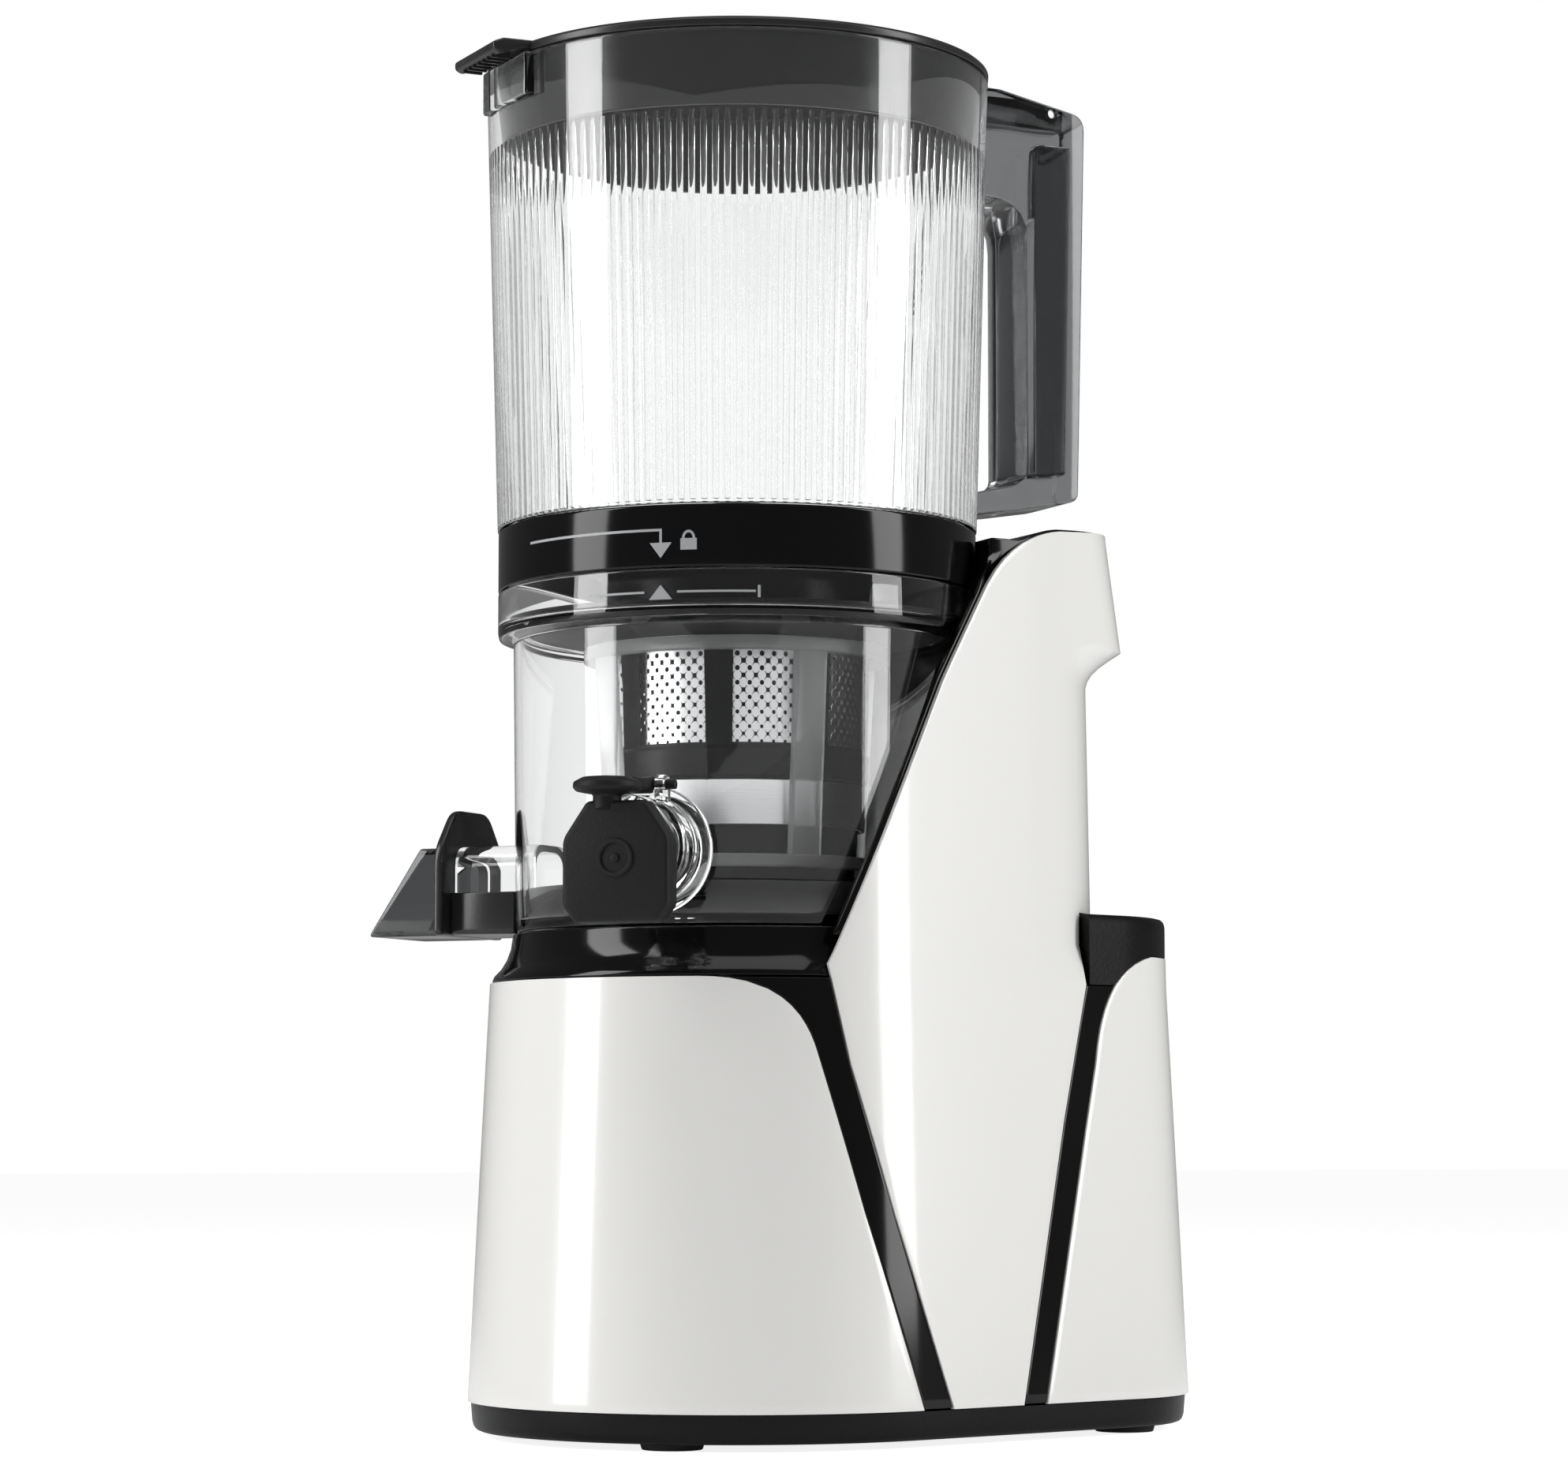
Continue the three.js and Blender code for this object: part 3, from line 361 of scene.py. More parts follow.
def x_on(z, y, rear_y, rear_r, inset):
    """Half width of a plan whose back circle is given, at a height and a distance behind the bowl axis."""
    grow = drafted(z) - inset
    front, rear = FRONT_R + grow, rear_r + grow
    if y <= front * math.sin(LEAN):
        return math.sqrt(max(front * front - y * y, 0.0))
    if y <= rear_y + rear * math.sin(LEAN):
        return (front - y * math.sin(LEAN)) / math.cos(LEAN)
    return math.sqrt(max(rear * rear - (y - rear_y) ** 2, 0.0))


def cover_x(z, y, inset=0.0):
    """Half width of the body with its tower, at a height and a distance behind the bowl axis."""
    share = min(max((z - DECK_EDGE) / MORPH, 0.0), 1.0)
    base = x_on(z, y, REAR_Y, REAR_R, inset) if share < 1 else 0.0
    tower = x_on(z, y, TOWER_REAR_Y, TOWER_REAR_R, inset) if share > 0 else 0.0
    return lerp(base, tower, share)


def lip_reach(z):
    """How far the carrying lip stands out of the tower's back."""
    if z < LIP_TIP:
        return LIP_REACH * (max(z - LIP_FOOT, 0.0) / (LIP_TIP - LIP_FOOT)) ** 2
    return lerp(LIP_REACH, 8.0, min((z - LIP_TIP) / 38.0, 1.0))


def tower_point(z, angle, inset=0.0):
    """A point on the tower's round back, by the angle about the back circle's centre."""
    reach = lip_reach(z) * smooth(0.5, 0.95, math.sin(angle))
    r = TOWER_REAR_R + drafted(z) - inset + reach
    return r * math.cos(angle), TOWER_REAR_Y + r * math.sin(angle), z


def ring_point(z, angle, inset=0.0, rear_y=REAR_Y, rear_r=REAR_R):
    """A point on the base plan, by the direction from the bowl axis."""
    grow = drafted(z) - inset
    front, rear = FRONT_R + grow, rear_r + grow
    turn = math.asin(max(-1.0, min(1.0, math.sin(angle))))
    tangent = math.atan2(rear_y + rear * math.sin(LEAN), rear * math.cos(LEAN))
    if turn <= LEAN:
        r = front
    elif turn <= tangent:
        r = front / math.cos(turn - LEAN)
    else:
        r = rear_y * math.sin(turn) + math.sqrt(max(rear * rear - (rear_y * math.cos(turn)) ** 2, 0.0))
    return r * math.cos(angle), r * math.sin(angle), z


# Side-view edges of the covers: distance behind the bowl axis at each height.
REAR_TOP = 154.8
CORNER_START, CORNER_END = 122.0, -44.0
FRONT_MARKS = (72, CORNER_START, 130, 136, 141, 143.4)  # heights that the front edge's curve needs
FRONT_EDGE = [(10.0, 26.0), (72.0, 4.7), (CORNER_START, -10.3)]
PANEL_TIP = 149.0
PANEL_FRONT = [
    (10.0, 38.5), (72.0, 15.8), (118.0, 1.1), (PANEL_TIP - 4, -5.0), (PANEL_TIP, -6.0), (PANEL_TIP + 4, -3.8),
]
TOWER_EDGE = [(PANEL_TIP + 4, -3.8), (241.0, 40.0), (270.0, 57.5)]
PANEL_JOINT = 168.5  # height where the side panels meet the tower's round back
PANEL_REAR = [(10.0, 67.0), (100.0, 88.0), (145.0, 100.0), (PANEL_JOINT, 101.0)]
REAR_CORNER_START = 120.0
REAR_EDGE = [(10.0, 77.2), (100.0, 98.5), (REAR_CORNER_START, 103.5)]
TOWER_TOP_CURVE = curve_points((57.5, 270.0), (69.0, 289.0), (92.0, 292.5), 12)
REAR_CORNER = curve_points((103.5, REAR_CORNER_START), (108.0, 151.5), (132.0, REAR_TOP), 12)
FRONT_CORNER = curve_points((-10.3, CORNER_START), (-16.8, DECK_EDGE), (CORNER_END, DECK_EDGE), 14)


def front_edge(z):
    if z < CORNER_START:
        return through(FRONT_EDGE, z)
    return through([(p[1], p[0]) for p in FRONT_CORNER], z)


def panel_front(z):
    return through(PANEL_FRONT + TOWER_EDGE[1:], z)


def panel_rear(z):
    return through(PANEL_REAR, z)


def rear_edge(z):
    if z < REAR_CORNER_START:
        return through(REAR_EDGE, z)
    return through([(p[1], p[0]) for p in REAR_CORNER], z)


def tower_top(y, raised=0.0):
    """Height of the tower cover's upper edge at a distance behind the bowl axis."""
    diagonal = [(p[1], p[0]) for p in PANEL_FRONT[-2:] + TOWER_EDGE[1:]]
    line = diagonal + [(p[0], p[1]) for p in TOWER_TOP_CURVE[1:]] + [(150.0, 297.5)]
    return through(line, y) + raised


def levels(*marks, pitch=3.0):
    """Heights from the first mark to the last, no further apart than the pitch, with every mark kept."""
    found = [marks[0]]
    for low, high in zip(marks, marks[1:]):
        count = max(1, math.ceil((high - low) / pitch))
        found += steps(low, high, count)[1:]
    return found


def sheet_faces(rows, first=0):
    """Faces of a grid whose rows have equal length."""
    n = len(rows[0])
    faces = []
    for i in range(len(rows) - 1):
        for j in range(n - 1):
            a = first + i * n + j
            faces.append((a, a + 1, a + 1 + n, a + n))
    return faces


def wall_faces(rows, columns):
    """Faces of an upright wall. Each row holds columns + 1 outer points and then as many inner points."""
    half = columns + 1
    n = 2 * half
    faces = []
    for r in range(len(rows) - 1):
        for i in range(columns):
            a, b = r * n + i, r * n + half + i
            faces.append((a, a + 1, a + 1 + n, a + n))
            faces.append((b + 1, b, b + n, b + 1 + n))
        right, left = r * n, r * n + columns
        faces.append((right + half, right, right + n, right + half + n))
        faces.append((left, left + half, left + half + n, left + n))
    for base in (0, (len(rows) - 1) * n):
        for i in range(columns):
            faces.append((base + i, base + i + 1, base + i + 1 + half, base + i + half))
    return faces


def skin(name, grids, thickness=SKIN, edge=0.5):
    """A moulded cover: sheets on the body's surface, given a wall inwards and soft edges."""
    verts, faces = [], []
    for rows in grids:
        faces += sheet_faces(rows, len(verts))
        verts += [p for row in rows for p in row]
    obj = make_object(name, verts, faces)
    wall = obj.modifiers.new("Wall", "SOLIDIFY")
    wall.thickness = thickness * MM
    wall.offset = -1
    wall.use_even_offset = True
    settle(obj)
    return bevelled(obj, edge, 3, 55)


def mirrored_rows(rows):
    return [[(-x, y, z) for x, y, z in reversed(row)] for row in rows]


# ---- Materials ----
def maths(nodes, operation):
    """A new maths node that does the operation."""
    node = nodes.new("ShaderNodeMath")
    node.operation = operation
    return node


def join(source, output, target, socket):
    """Links an output of one node to an input of another."""
    source.id_data.links.new(source.outputs[output], target.inputs[socket])


def node_group(name, inputs, outputs):
    """An empty shader group with named sockets, and its input and output nodes."""
    group = bpy.data.node_groups.new(name, "ShaderNodeTree")
    for label, kind, default in inputs:
        socket = group.interface.new_socket(label, in_out="INPUT", socket_type=kind)
        socket.default_value = default
    for label, kind in outputs:
        group.interface.new_socket(label, in_out="OUTPUT", socket_type=kind)
    return group, group.nodes.new("NodeGroupInput"), group.nodes.new("NodeGroupOutput")


def geometry_tree(name, **inputs):
    """A geometry tree with named inputs: each input's identifier, and the input and output nodes."""
    tree = bpy.data.node_groups.new(name, "GeometryNodeTree")
    sockets = {}
    for label, kind in inputs.items():
        socket = tree.interface.new_socket(label, in_out="INPUT", socket_type="NodeSocket" + kind)
        sockets[label] = socket.identifier
    tree.interface.new_socket("Geometry", in_out="OUTPUT", socket_type="NodeSocketGeometry")
    return sockets, tree.nodes.new("NodeGroupInput"), tree.nodes.new("NodeGroupOutput")


def painted(node, material, made):
    """Gives the node's geometry a material and sends it to the tree's output node."""
    paint = made.id_data.nodes.new("GeometryNodeSetMaterial")
    paint.inputs["Material"].default_value = material
    join(node, "Geometry", paint, "Geometry")
    join(paint, "Geometry", made, "Geometry")


def handled_surface():
    """Faint smudges and a moulding ripple, shared by every finish."""
    found = bpy.data.node_groups.get("handled_surface")
    if found:
        return found
    colour, value = "NodeSocketColor", "NodeSocketFloat"
    group, given, made = node_group(
        "handled_surface",
        [("Colour", colour, (0.5, 0.5, 0.5, 1)), ("Shade", colour, (0.4, 0.4, 0.4, 1)),
         ("Roughness", value, 0.3), ("Smudge", value, 0.05),
         ("Patch Size", value, 18.0), ("Grain Size", value, 400.0), ("Grain", value, 0.1)],
        [("Colour", colour), ("Roughness", value), ("Height", value)],
    )
    nodes = group.nodes
    place = nodes.new("ShaderNodeTexCoord")
    patch = nodes.new("ShaderNodeTexNoise")
    patch.inputs["Detail"].default_value = 3.0
    grain = nodes.new("ShaderNodeTexNoise")
    grain.inputs["Detail"].default_value = 2.0
    for noise, size in ((patch, "Patch Size"), (grain, "Grain Size")):
        join(place, "Object", noise, "Vector")
        join(given, size, noise, "Scale")
    blend = nodes.new("ShaderNodeMix")
    blend.data_type = "RGBA"
    join(patch, "Fac", blend, "Factor")
    join(given, "Colour", blend, "A")
    join(given, "Shade", blend, "B")
    smudge = maths(nodes, "MULTIPLY_ADD")
    join(patch, "Fac", smudge, 0)
    join(given, "Smudge", smudge, 1)
    join(given, "Roughness", smudge, 2)
    ripple = maths(nodes, "MULTIPLY")
    join(grain, "Fac", ripple, 0)
    join(given, "Grain", ripple, 1)
    join(blend, "Result", made, "Colour")
    join(smudge, "Value", made, "Roughness")
    join(ripple, "Value", made, "Height")
    return group


def plastic(name, colour, shade, roughness=0.2, smudge=0.05, grain=0.05, grain_size=500.0,
            patch_size=14.0, coat=0.0, metallic=0.0, bump=0.0002, specular=0.5):
    """An opaque finish whose colour, gloss and surface change a little from place to place."""
    label = f"juicer_{name}"
    material = bpy.data.materials.get(label)
    if material:
        return material
    material = bpy.data.materials.new(label)
    material.use_nodes = True
    nodes = material.node_tree.nodes
    shader = nodes["Principled BSDF"]
    group = nodes.new("ShaderNodeGroup")
    group.node_tree = handled_surface()
    settings = {
        "Colour": (*colour, 1), "Shade": (*shade, 1), "Roughness": roughness, "Smudge": smudge,
        "Patch Size": patch_size, "Grain Size": grain_size, "Grain": grain,
    }
    for label, value in settings.items():
        group.inputs[label].default_value = value
    join(group, "Colour", shader, "Base Color")
    join(group, "Roughness", shader, "Roughness")
    relief = nodes.new("ShaderNodeBump")
    relief.inputs["Distance"].default_value = bump
    relief.inputs["Strength"].default_value = 1.0
    join(group, "Height", relief, "Height")
    join(relief, "Normal", shader, "Normal")
    shader.inputs["Metallic"].default_value = metallic
    shader.inputs["Specular IOR Level"].default_value = specular
    shader.inputs["Coat Weight"].default_value = coat
    shader.inputs["Coat Roughness"].default_value = 0.04
    return material


def clear_plastic(name, colour, shade, roughness=0.0, smudge=0.012, ior=1.46):
    """Polished see-through plastic with faint smudges."""
    material = plastic(name, colour, shade, roughness, smudge, 0.02, 90.0, bump=0.00005, specular=0.38)
    shader = material.node_tree.nodes["Principled BSDF"]
    shader.inputs["Transmission Weight"].default_value = 1.0
    shader.inputs["IOR"].default_value = ior
    return material


def palette():
    return bpy.context.scene.juicer_colours


def tint(colour, factor):
    return tuple(min(1.0, c * factor) for c in colour)


def white_gloss():
    base = tuple(palette().cover)
    return plastic("white_gloss", base, tint(base, 0.985), 0.16, 0.05, 0.02, 60.0, coat=0.35)


def black_gloss():
    base = tuple(palette().trim)
    return plastic("black_gloss", tint(base, 0.8), tint(base, 1.3), 0.07, 0.06, 0.02, 70.0, specular=0.28)


def black_satin():
    base = tuple(palette().trim)
    return plastic("black_satin", tint(base, 0.7), tint(base, 1.2), 0.3, 0.1, 0.3, 900.0, specular=0.16)


def lid_grey():
    base = tuple(palette().lid)
    return plastic("lid_grey", base, tint(base, 1.25), 0.2, 0.1, 0.1, 700.0, specular=0.4)


def soft_grey():
    base = tuple(palette().silicone)
    return plastic("soft_grey", base, tint(base, 1.35), 0.46, 0.12, 0.4, 1200.0, specular=0.2)


def foot_rubber():
    return plastic("foot_rubber", (0.012, 0.012, 0.012), (0.03, 0.03, 0.03), 0.7, 0.2, 0.8, 1500.0)


def smoky_clear():
    base = tuple(palette().bowl)
    return clear_plastic("smoky_clear", base, tint(base, 0.975))


def water_clear():
    return clear_plastic("water_clear", (0.992, 0.995, 0.995), (0.98, 0.985, 0.985))


def smoky_grip():
    base = tuple(palette().grip)
    return clear_plastic("smoky_grip", base, tint(base, 0.8), 0.04, 0.06)


def smoky_dark():
    base = tint(tuple(palette().grip), 0.35)
    return clear_plastic("smoky_dark", base, tint(base, 0.8), 0.02, 0.05)


def frosted_clear():
    """Milky plastic that lets light through without a clear view."""
    material = clear_plastic("frosted_clear", (0.94, 0.945, 0.945), (0.9, 0.905, 0.905), 0.3, 0.1)
    material.node_tree.nodes["Principled BSDF"].inputs["Transmission Weight"].default_value = 0.85
    return material


def mark_silver():
    return plastic("mark_silver", (0.42, 0.43, 0.44), (0.34, 0.35, 0.36), 0.35, 0.1, 0.1, 900.0)


def brushed_steel():
    """Steel with fine brushing, stretched along the height."""
    known = bpy.data.materials.get("juicer_brushed_steel")
    if known:
        return known
    material = plastic("brushed_steel", (0.93, 0.935, 0.94), (0.84, 0.85, 0.86), 0.28, 0.12, metallic=1.0)
    nodes = material.node_tree.nodes
    place = nodes.new("ShaderNodeTexCoord")
    stretch = nodes.new("ShaderNodeMapping")
    stretch.inputs["Scale"].default_value = (60.0, 60.0, 3000.0)
    lines = nodes.new("ShaderNodeTexNoise")
    lines.inputs["Scale"].default_value = 1.0
    join(place, "Object", stretch, "Vector")
    join(stretch, "Vector", lines, "Vector")
    relief = nodes["Bump"]
    relief.inputs["Distance"].default_value = 0.00004
    join(lines, "Fac", relief, "Height")
    return material


# ---- Settings ----
def colour_setting(name, description, default):
    return bpy.props.FloatVectorProperty(
        name=name, description=description, subtype="COLOR", size=3, min=0, max=1, default=default,
    )


def distance_setting(name, description, default):
    return bpy.props.FloatProperty(
        name=name, description=description, default=default, unit="LENGTH", subtype="DISTANCE",
    )


class JuicerColours(bpy.types.PropertyGroup):
    """Colours of the juicer's finishes."""

    cover: colour_setting("Covers", "Glossy outer covers", (0.86, 0.855, 0.835))
    trim: colour_setting("Black trim", "Frame, collar, liner and lock ring", (0.004, 0.004, 0.0045))
    lid: colour_setting("Lid", "Lid and dial", (0.02, 0.02, 0.021))
    grip: colour_setting("Handle", "Tint of the see-through handle", (0.2, 0.205, 0.21))
    silicone: colour_setting("Silicone", "Spout cap and brush blades", (0.01, 0.01, 0.0105))
    bowl: colour_setting("Bowl", "Tint of the smoky bowl", (0.982, 0.984, 0.985))


class JuicerSizes(bpy.types.PropertyGroup):
    """Sizes of the details that the frame doesn't fix."""

    rib_count: bpy.props.IntProperty(
        name="Hopper ribs", description="Ribs round the inside of the hopper", default=132, min=24,
    )
    rib_depth: distance_setting("Rib depth", "How far each rib stands in from the wall", 0.0012)
    hole_pitch: distance_setting("Hole pitch", "Distance between strainer holes", 0.00394)
    hole_radius: distance_setting("Hole radius", "Radius of the largest strainer holes", 0.00087)


# ---- Pieces ----
class JUICER_OT_covers(bpy.types.Operator):
    """Front shell, rear shell and tower cover"""

    bl_idname = "juicer.covers"
    bl_label = "Covers"

    def front_shell(self):
        rows = []
        for z in levels(SHELL_BOTTOM, *FRONT_MARKS, 144.4, 144.85, DECK_EDGE):
            side = math.asin(front_edge(z) / (FRONT_R + drafted(z)))
            rows.append([ring_point(z, a) for a in steps(-math.pi - side, side, 110)])
        dress(skin("front_cover", [rows]), "base", "white_gloss", white_gloss(), "front_shell")

    def rear_shell(self):
        rows = []
        for z in levels(SHELL_BOTTOM, 100, REAR_CORNER_START, 140, 148, 152, 153.8, 154.5, REAR_TOP):
            y = rear_edge(z)
            side = math.atan2(y, x_on(z, y, REAR_Y, REAR_R, 0))
            rows.append([ring_point(z, a) for a in steps(side, math.pi - side, 70)])
        dress(skin("rear_cover", [rows]), "base", "white_gloss", white_gloss(), "rear_shell")

    def tower(self):
        """Side panels below the joint, mirrored, and above it one sheet round the tower's back."""
        joint = PANEL_JOINT
        tangent = TOWER_REAR_Y + (TOWER_REAR_R + drafted(joint)) * math.sin(LEAN)
        start, end = panel_front(joint), panel_rear(joint)
        columns = levels(start, tangent, end, pitch=4)
        shares = [(y - start) / (end - start) for y in columns]
        lower = []
        marks = (72, 100, 118, DECK_EDGE, PANEL_TIP, PANEL_TIP + 4, DECK_EDGE + MORPH)
        for z in levels(SHELL_BOTTOM, *marks, joint):
            low, high = panel_front(z), panel_rear(z)
            ys = [lerp(low, high, share) for share in shares]
            lower.append([(cover_x(z, y), y, z) for y in ys])

        def back_angle(y):
            return math.asin((y - TOWER_REAR_Y) / (TOWER_REAR_R + drafted(joint)))

        straight = [y for y in columns if y <= tangent + 1e-6]
        side_angles = [back_angle(y) for y in columns if y > tangent + 1e-6]
        back = steps(side_angles[-1], math.pi - side_angles[-1], 44)[1:-1]
        angles = side_angles + back + [math.pi - a for a in reversed(side_angles)]
        upper = []
        for share in steps(0.0, 1.0, 52):
            row = []
            for y in straight:
                z = lerp(joint, tower_top(y), share)
                row.append((cover_x(z, y), y, z))
            for a in angles:
                top = tower_top(tower_point(293.0, a)[1])
                row.append(tower_point(lerp(joint, top, share), a))
            row += [(-x, y, z) for x, y, z in reversed(row[: len(straight)])]
            upper.append(row)
        obj = skin("tower_shell", [lower, mirrored_rows(lower), upper])
        dress(obj, "base", "white_gloss", white_gloss(), "tower_cover")

    def execute(self, context):
        self.front_shell()
        self.rear_shell()
        self.tower()
        return {"FINISHED"}


class JUICER_OT_mouldings(bpy.types.Operator):
    """Black frame, collar, tower liner, rear cap and base plate"""

    bl_idname = "juicer.mouldings"
    bl_label = "Black mouldings"

    def inner_frame(self):
        """A closed wall inside the covers, and the bands that show between them."""
        sides = 96
        foot, top = 12, DECK_EDGE - SEAM
        rings = []
        for inset, z in ((LINER_INSET, foot), (LINER_INSET, top), (4.0, top), (4.0, foot)):
            rings.append([ring_point(z, 2 * math.pi * i / sides, inset) for i in range(sides)])
        verts = [p for ring in rings for p in ring]
        faces = []
        for level in range(4):
            below, above = level * sides, ((level + 1) % 4) * sides
            for i in range(sides):
                j = (i + 1) % sides
                faces.append((below + i, below + j, above + j, above + i))
        core = make_object("frame_core", verts, faces)
        front, rear = [], []
        for z in levels(foot, *FRONT_MARKS, top):
            pairs = ((front, front_edge(z) + SEAM, panel_front(z) - SEAM),
                     (rear, panel_rear(z) + SEAM, rear_edge(z) - SEAM))
            for rows, low, high in pairs:
                rows.append([(x_on(z, y, REAR_Y, REAR_R, BAND_RECESS), y, z) for y in steps(low, high, 12)])
        bands = skin("bands", [front, mirrored_rows(front), rear, mirrored_rows(rear)], 2.0, 0.25)
        obj = merged("band_frame", core, bands)
        dress(obj, "base", "black_gloss", black_gloss(), "inner_frame")

    def collar(self):
        """Turned collar, kept inside the side panels behind the bowl axis."""
        def reach(angle, r, z):
            return min(r, 78.0) if math.sin(angle) * r > -7.5 else r

        corners = [
            (18, DECK_TOP - 3), (68.5, DECK_TOP - 3), (71, 151), (74, DECK_EDGE + SEAM),
            (79.4, DECK_EDGE + SEAM, 0.5), (78.7, 147.2), (76.4, 149.6), (74.6, 152.6), (73.3, 156.2),
            (72.6, DECK_TOP, 0.9), (18, DECK_TOP),
        ]
        obj = turned("collar", corners, 144, reach)
        dress(obj, "base", "black_gloss", black_gloss(), "deck")

    def liner(self):
        columns = 72
        low = DECK_EDGE + MORPH
        settled = 284.0
        edge = 2.0

        def inner_radius(z):
            return lerp(LINER_R, LINER_FLANGE_R, smooth(244, 251, z))

        def row_at(z_front, height_at):
            """One level: outer points from the right tip round the back to the left, then the inner ones."""
            y = panel_front(min(z_front, 270.0)) - edge
            if z_front > 270:
                y = lerp(y, 63.0, (z_front - 270) / (settled - 270))
            outer_start = math.atan2(y, cover_x(min(z_front, settled), y, LINER_INSET))
            inner_r = inner_radius(z_front)
            inner_start = math.asin(max(-1, min(1, y / inner_r)))
            outer, inner = [], []
            for i in range(columns + 1):
                share = i / columns
                a = lerp(outer_start, math.pi - outer_start, share)
                plan = ring_point(z_front, a, LINER_INSET, TOWER_REAR_Y, TOWER_REAR_R)
                z = height_at(plan[1])
                if plan[1] > TOWER_REAR_Y:
                    about = math.atan2(plan[1] - TOWER_REAR_Y, plan[0])
                    plan = tower_point(z, about, LINER_INSET)
                b = lerp(inner_start, math.pi - inner_start, share)
                outer.append((plan[0], plan[1], z))
                flat = (inner_r * math.cos(b), inner_r * math.sin(b))
                inner.append((*flat, height_at(flat[1])))
            return outer + inner

        rows = [row_at(z, lambda y, z=z: z) for z in levels(low, 241, 251, 270, settled)]
        for share in (0.3, 0.6, 0.85, 1.0):
            rows.append(row_at(settled, lambda y, s=share: lerp(settled, max(tower_top(y, 1.0), 288.0), s)))
        obj = make_object("tower_lining", [p for row in rows for p in row], wall_faces(rows, columns))
        weld(obj, outward=True)
        obj = bevelled(obj, 0.4, 2, 50)
        dress(obj, "base", "black_gloss", black_gloss(), "tower_liner")

    def rear_cap(self):
        """Crown of the motor housing, from the back of the side panels round the rear to the tower."""
        columns = 64
        start = panel_rear(HOUSING_TOP) + SEAM
        shoulder = HOUSING_TOP - 3.2

        def lip(y):
            return max(DECK_EDGE, rear_top(y) + SEAM)

        def row(height_at, inset):
            side = math.atan2(start, x_on(HOUSING_TOP, start, REAR_Y, REAR_R, inset))
            outer = [ring_point(DECK_EDGE, a, inset) for a in steps(side, math.pi - side, columns)]
            tower_r = TOWER_REAR_R + drafted(HOUSING_TOP) + SEAM
            turn = math.asin((start - TOWER_REAR_Y) / tower_r)
            inner = []
            for a in steps(turn, math.pi - turn, columns):
                inner.append((tower_r * math.cos(a), TOWER_REAR_Y + tower_r * math.sin(a), 0))
            heights = [height_at(y) for _, y, _ in outer]
            return [(x, y, z) for (x, y, _), z in zip(outer + inner, heights + heights)]

        rows = []
        for share in (0.0, 0.25, 0.5, 0.75, 1.0):
            rows.append(row(lambda y, s=share: lerp(lip(y), shoulder, s), BAND_RECESS))
        for drop, inset in ((2.0, 0.5), (1.0, 0.9), (0.3, 1.6), (0.0, 2.8)):
            rows.append(row(lambda y, d=drop: HOUSING_TOP - d, inset))
        obj = make_object("housing_crown", [p for line in rows for p in line], wall_faces(rows, columns))
        weld(obj, outward=True)
        soften(obj)
        dress(obj, "base", "black_satin", black_satin(), "rear_cap")

    def base_plate(self):
        """Skirt under the covers, with air slots below the motor."""
        profile = [(2.6, 2.3), (3.6, 2.7), (4.4, 3.6), (4.9, 5.2), (5.4, SHELL_BOTTOM - SEAM)]
        sides = 120
        rings = []
        for grow, z in profile + [(2.0, SHELL_BOTTOM - SEAM), (2.0, 5.3)]:
            rings.append([ring_point(z, 2 * math.pi * i / sides, drafted(z) - grow) for i in range(sides)])
        obj = lofted("skirt", rings)
        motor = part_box("motor_can")
        centre = (motor[0][1] + motor[1][1]) / 2 / MM - AXIS.y / MM
        slots = [centre + slot * 9 for slot in range(-2, 3)]
        tools = [brick("slot", (-24, 24), (y - 1.6, y + 1.6), (0, 8)) for y in slots]
        dress(cut(obj, *tools), "base", "black_satin", black_satin(), "base_plate")

    def execute(self, context):
        self.inner_frame()
        self.collar()
        self.liner()
        self.rear_cap()
        self.base_plate()
        return {"FINISHED"}


def rear_top(y):
    """Height of the rear cover's upper edge at a distance behind the bowl axis."""
    return through([(p[0], p[1]) for p in REAR_CORNER] + [(160.0, REAR_TOP + 0.05)], y)


class JUICER_OT_feet(bpy.types.Operator):
    """Four rubber feet"""

    bl_idname = "juicer.feet"
    bl_label = "Feet"

    def execute(self, context):
        for i in range(1, 5):
            low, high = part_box(f"foot_{i}")
            centre = (Vector(low) + Vector(high)) / 2
            x, y = (centre.x - AXIS.x) / MM, (centre.y - AXIS.y) / MM
            corners = [(0, 0), (9.4, 0, 0.6), (10, high[2] / MM, 0.2), (0, high[2] / MM)]
            foot = turned(f"foot_pad_{i}", corners, 48, close=False)
            foot.data.transform(Matrix.Translation((x * MM, y * MM, 0)))
            dress(foot, "base", "rubber", foot_rubber(), f"foot_{i}")
        return {"FINISHED"}


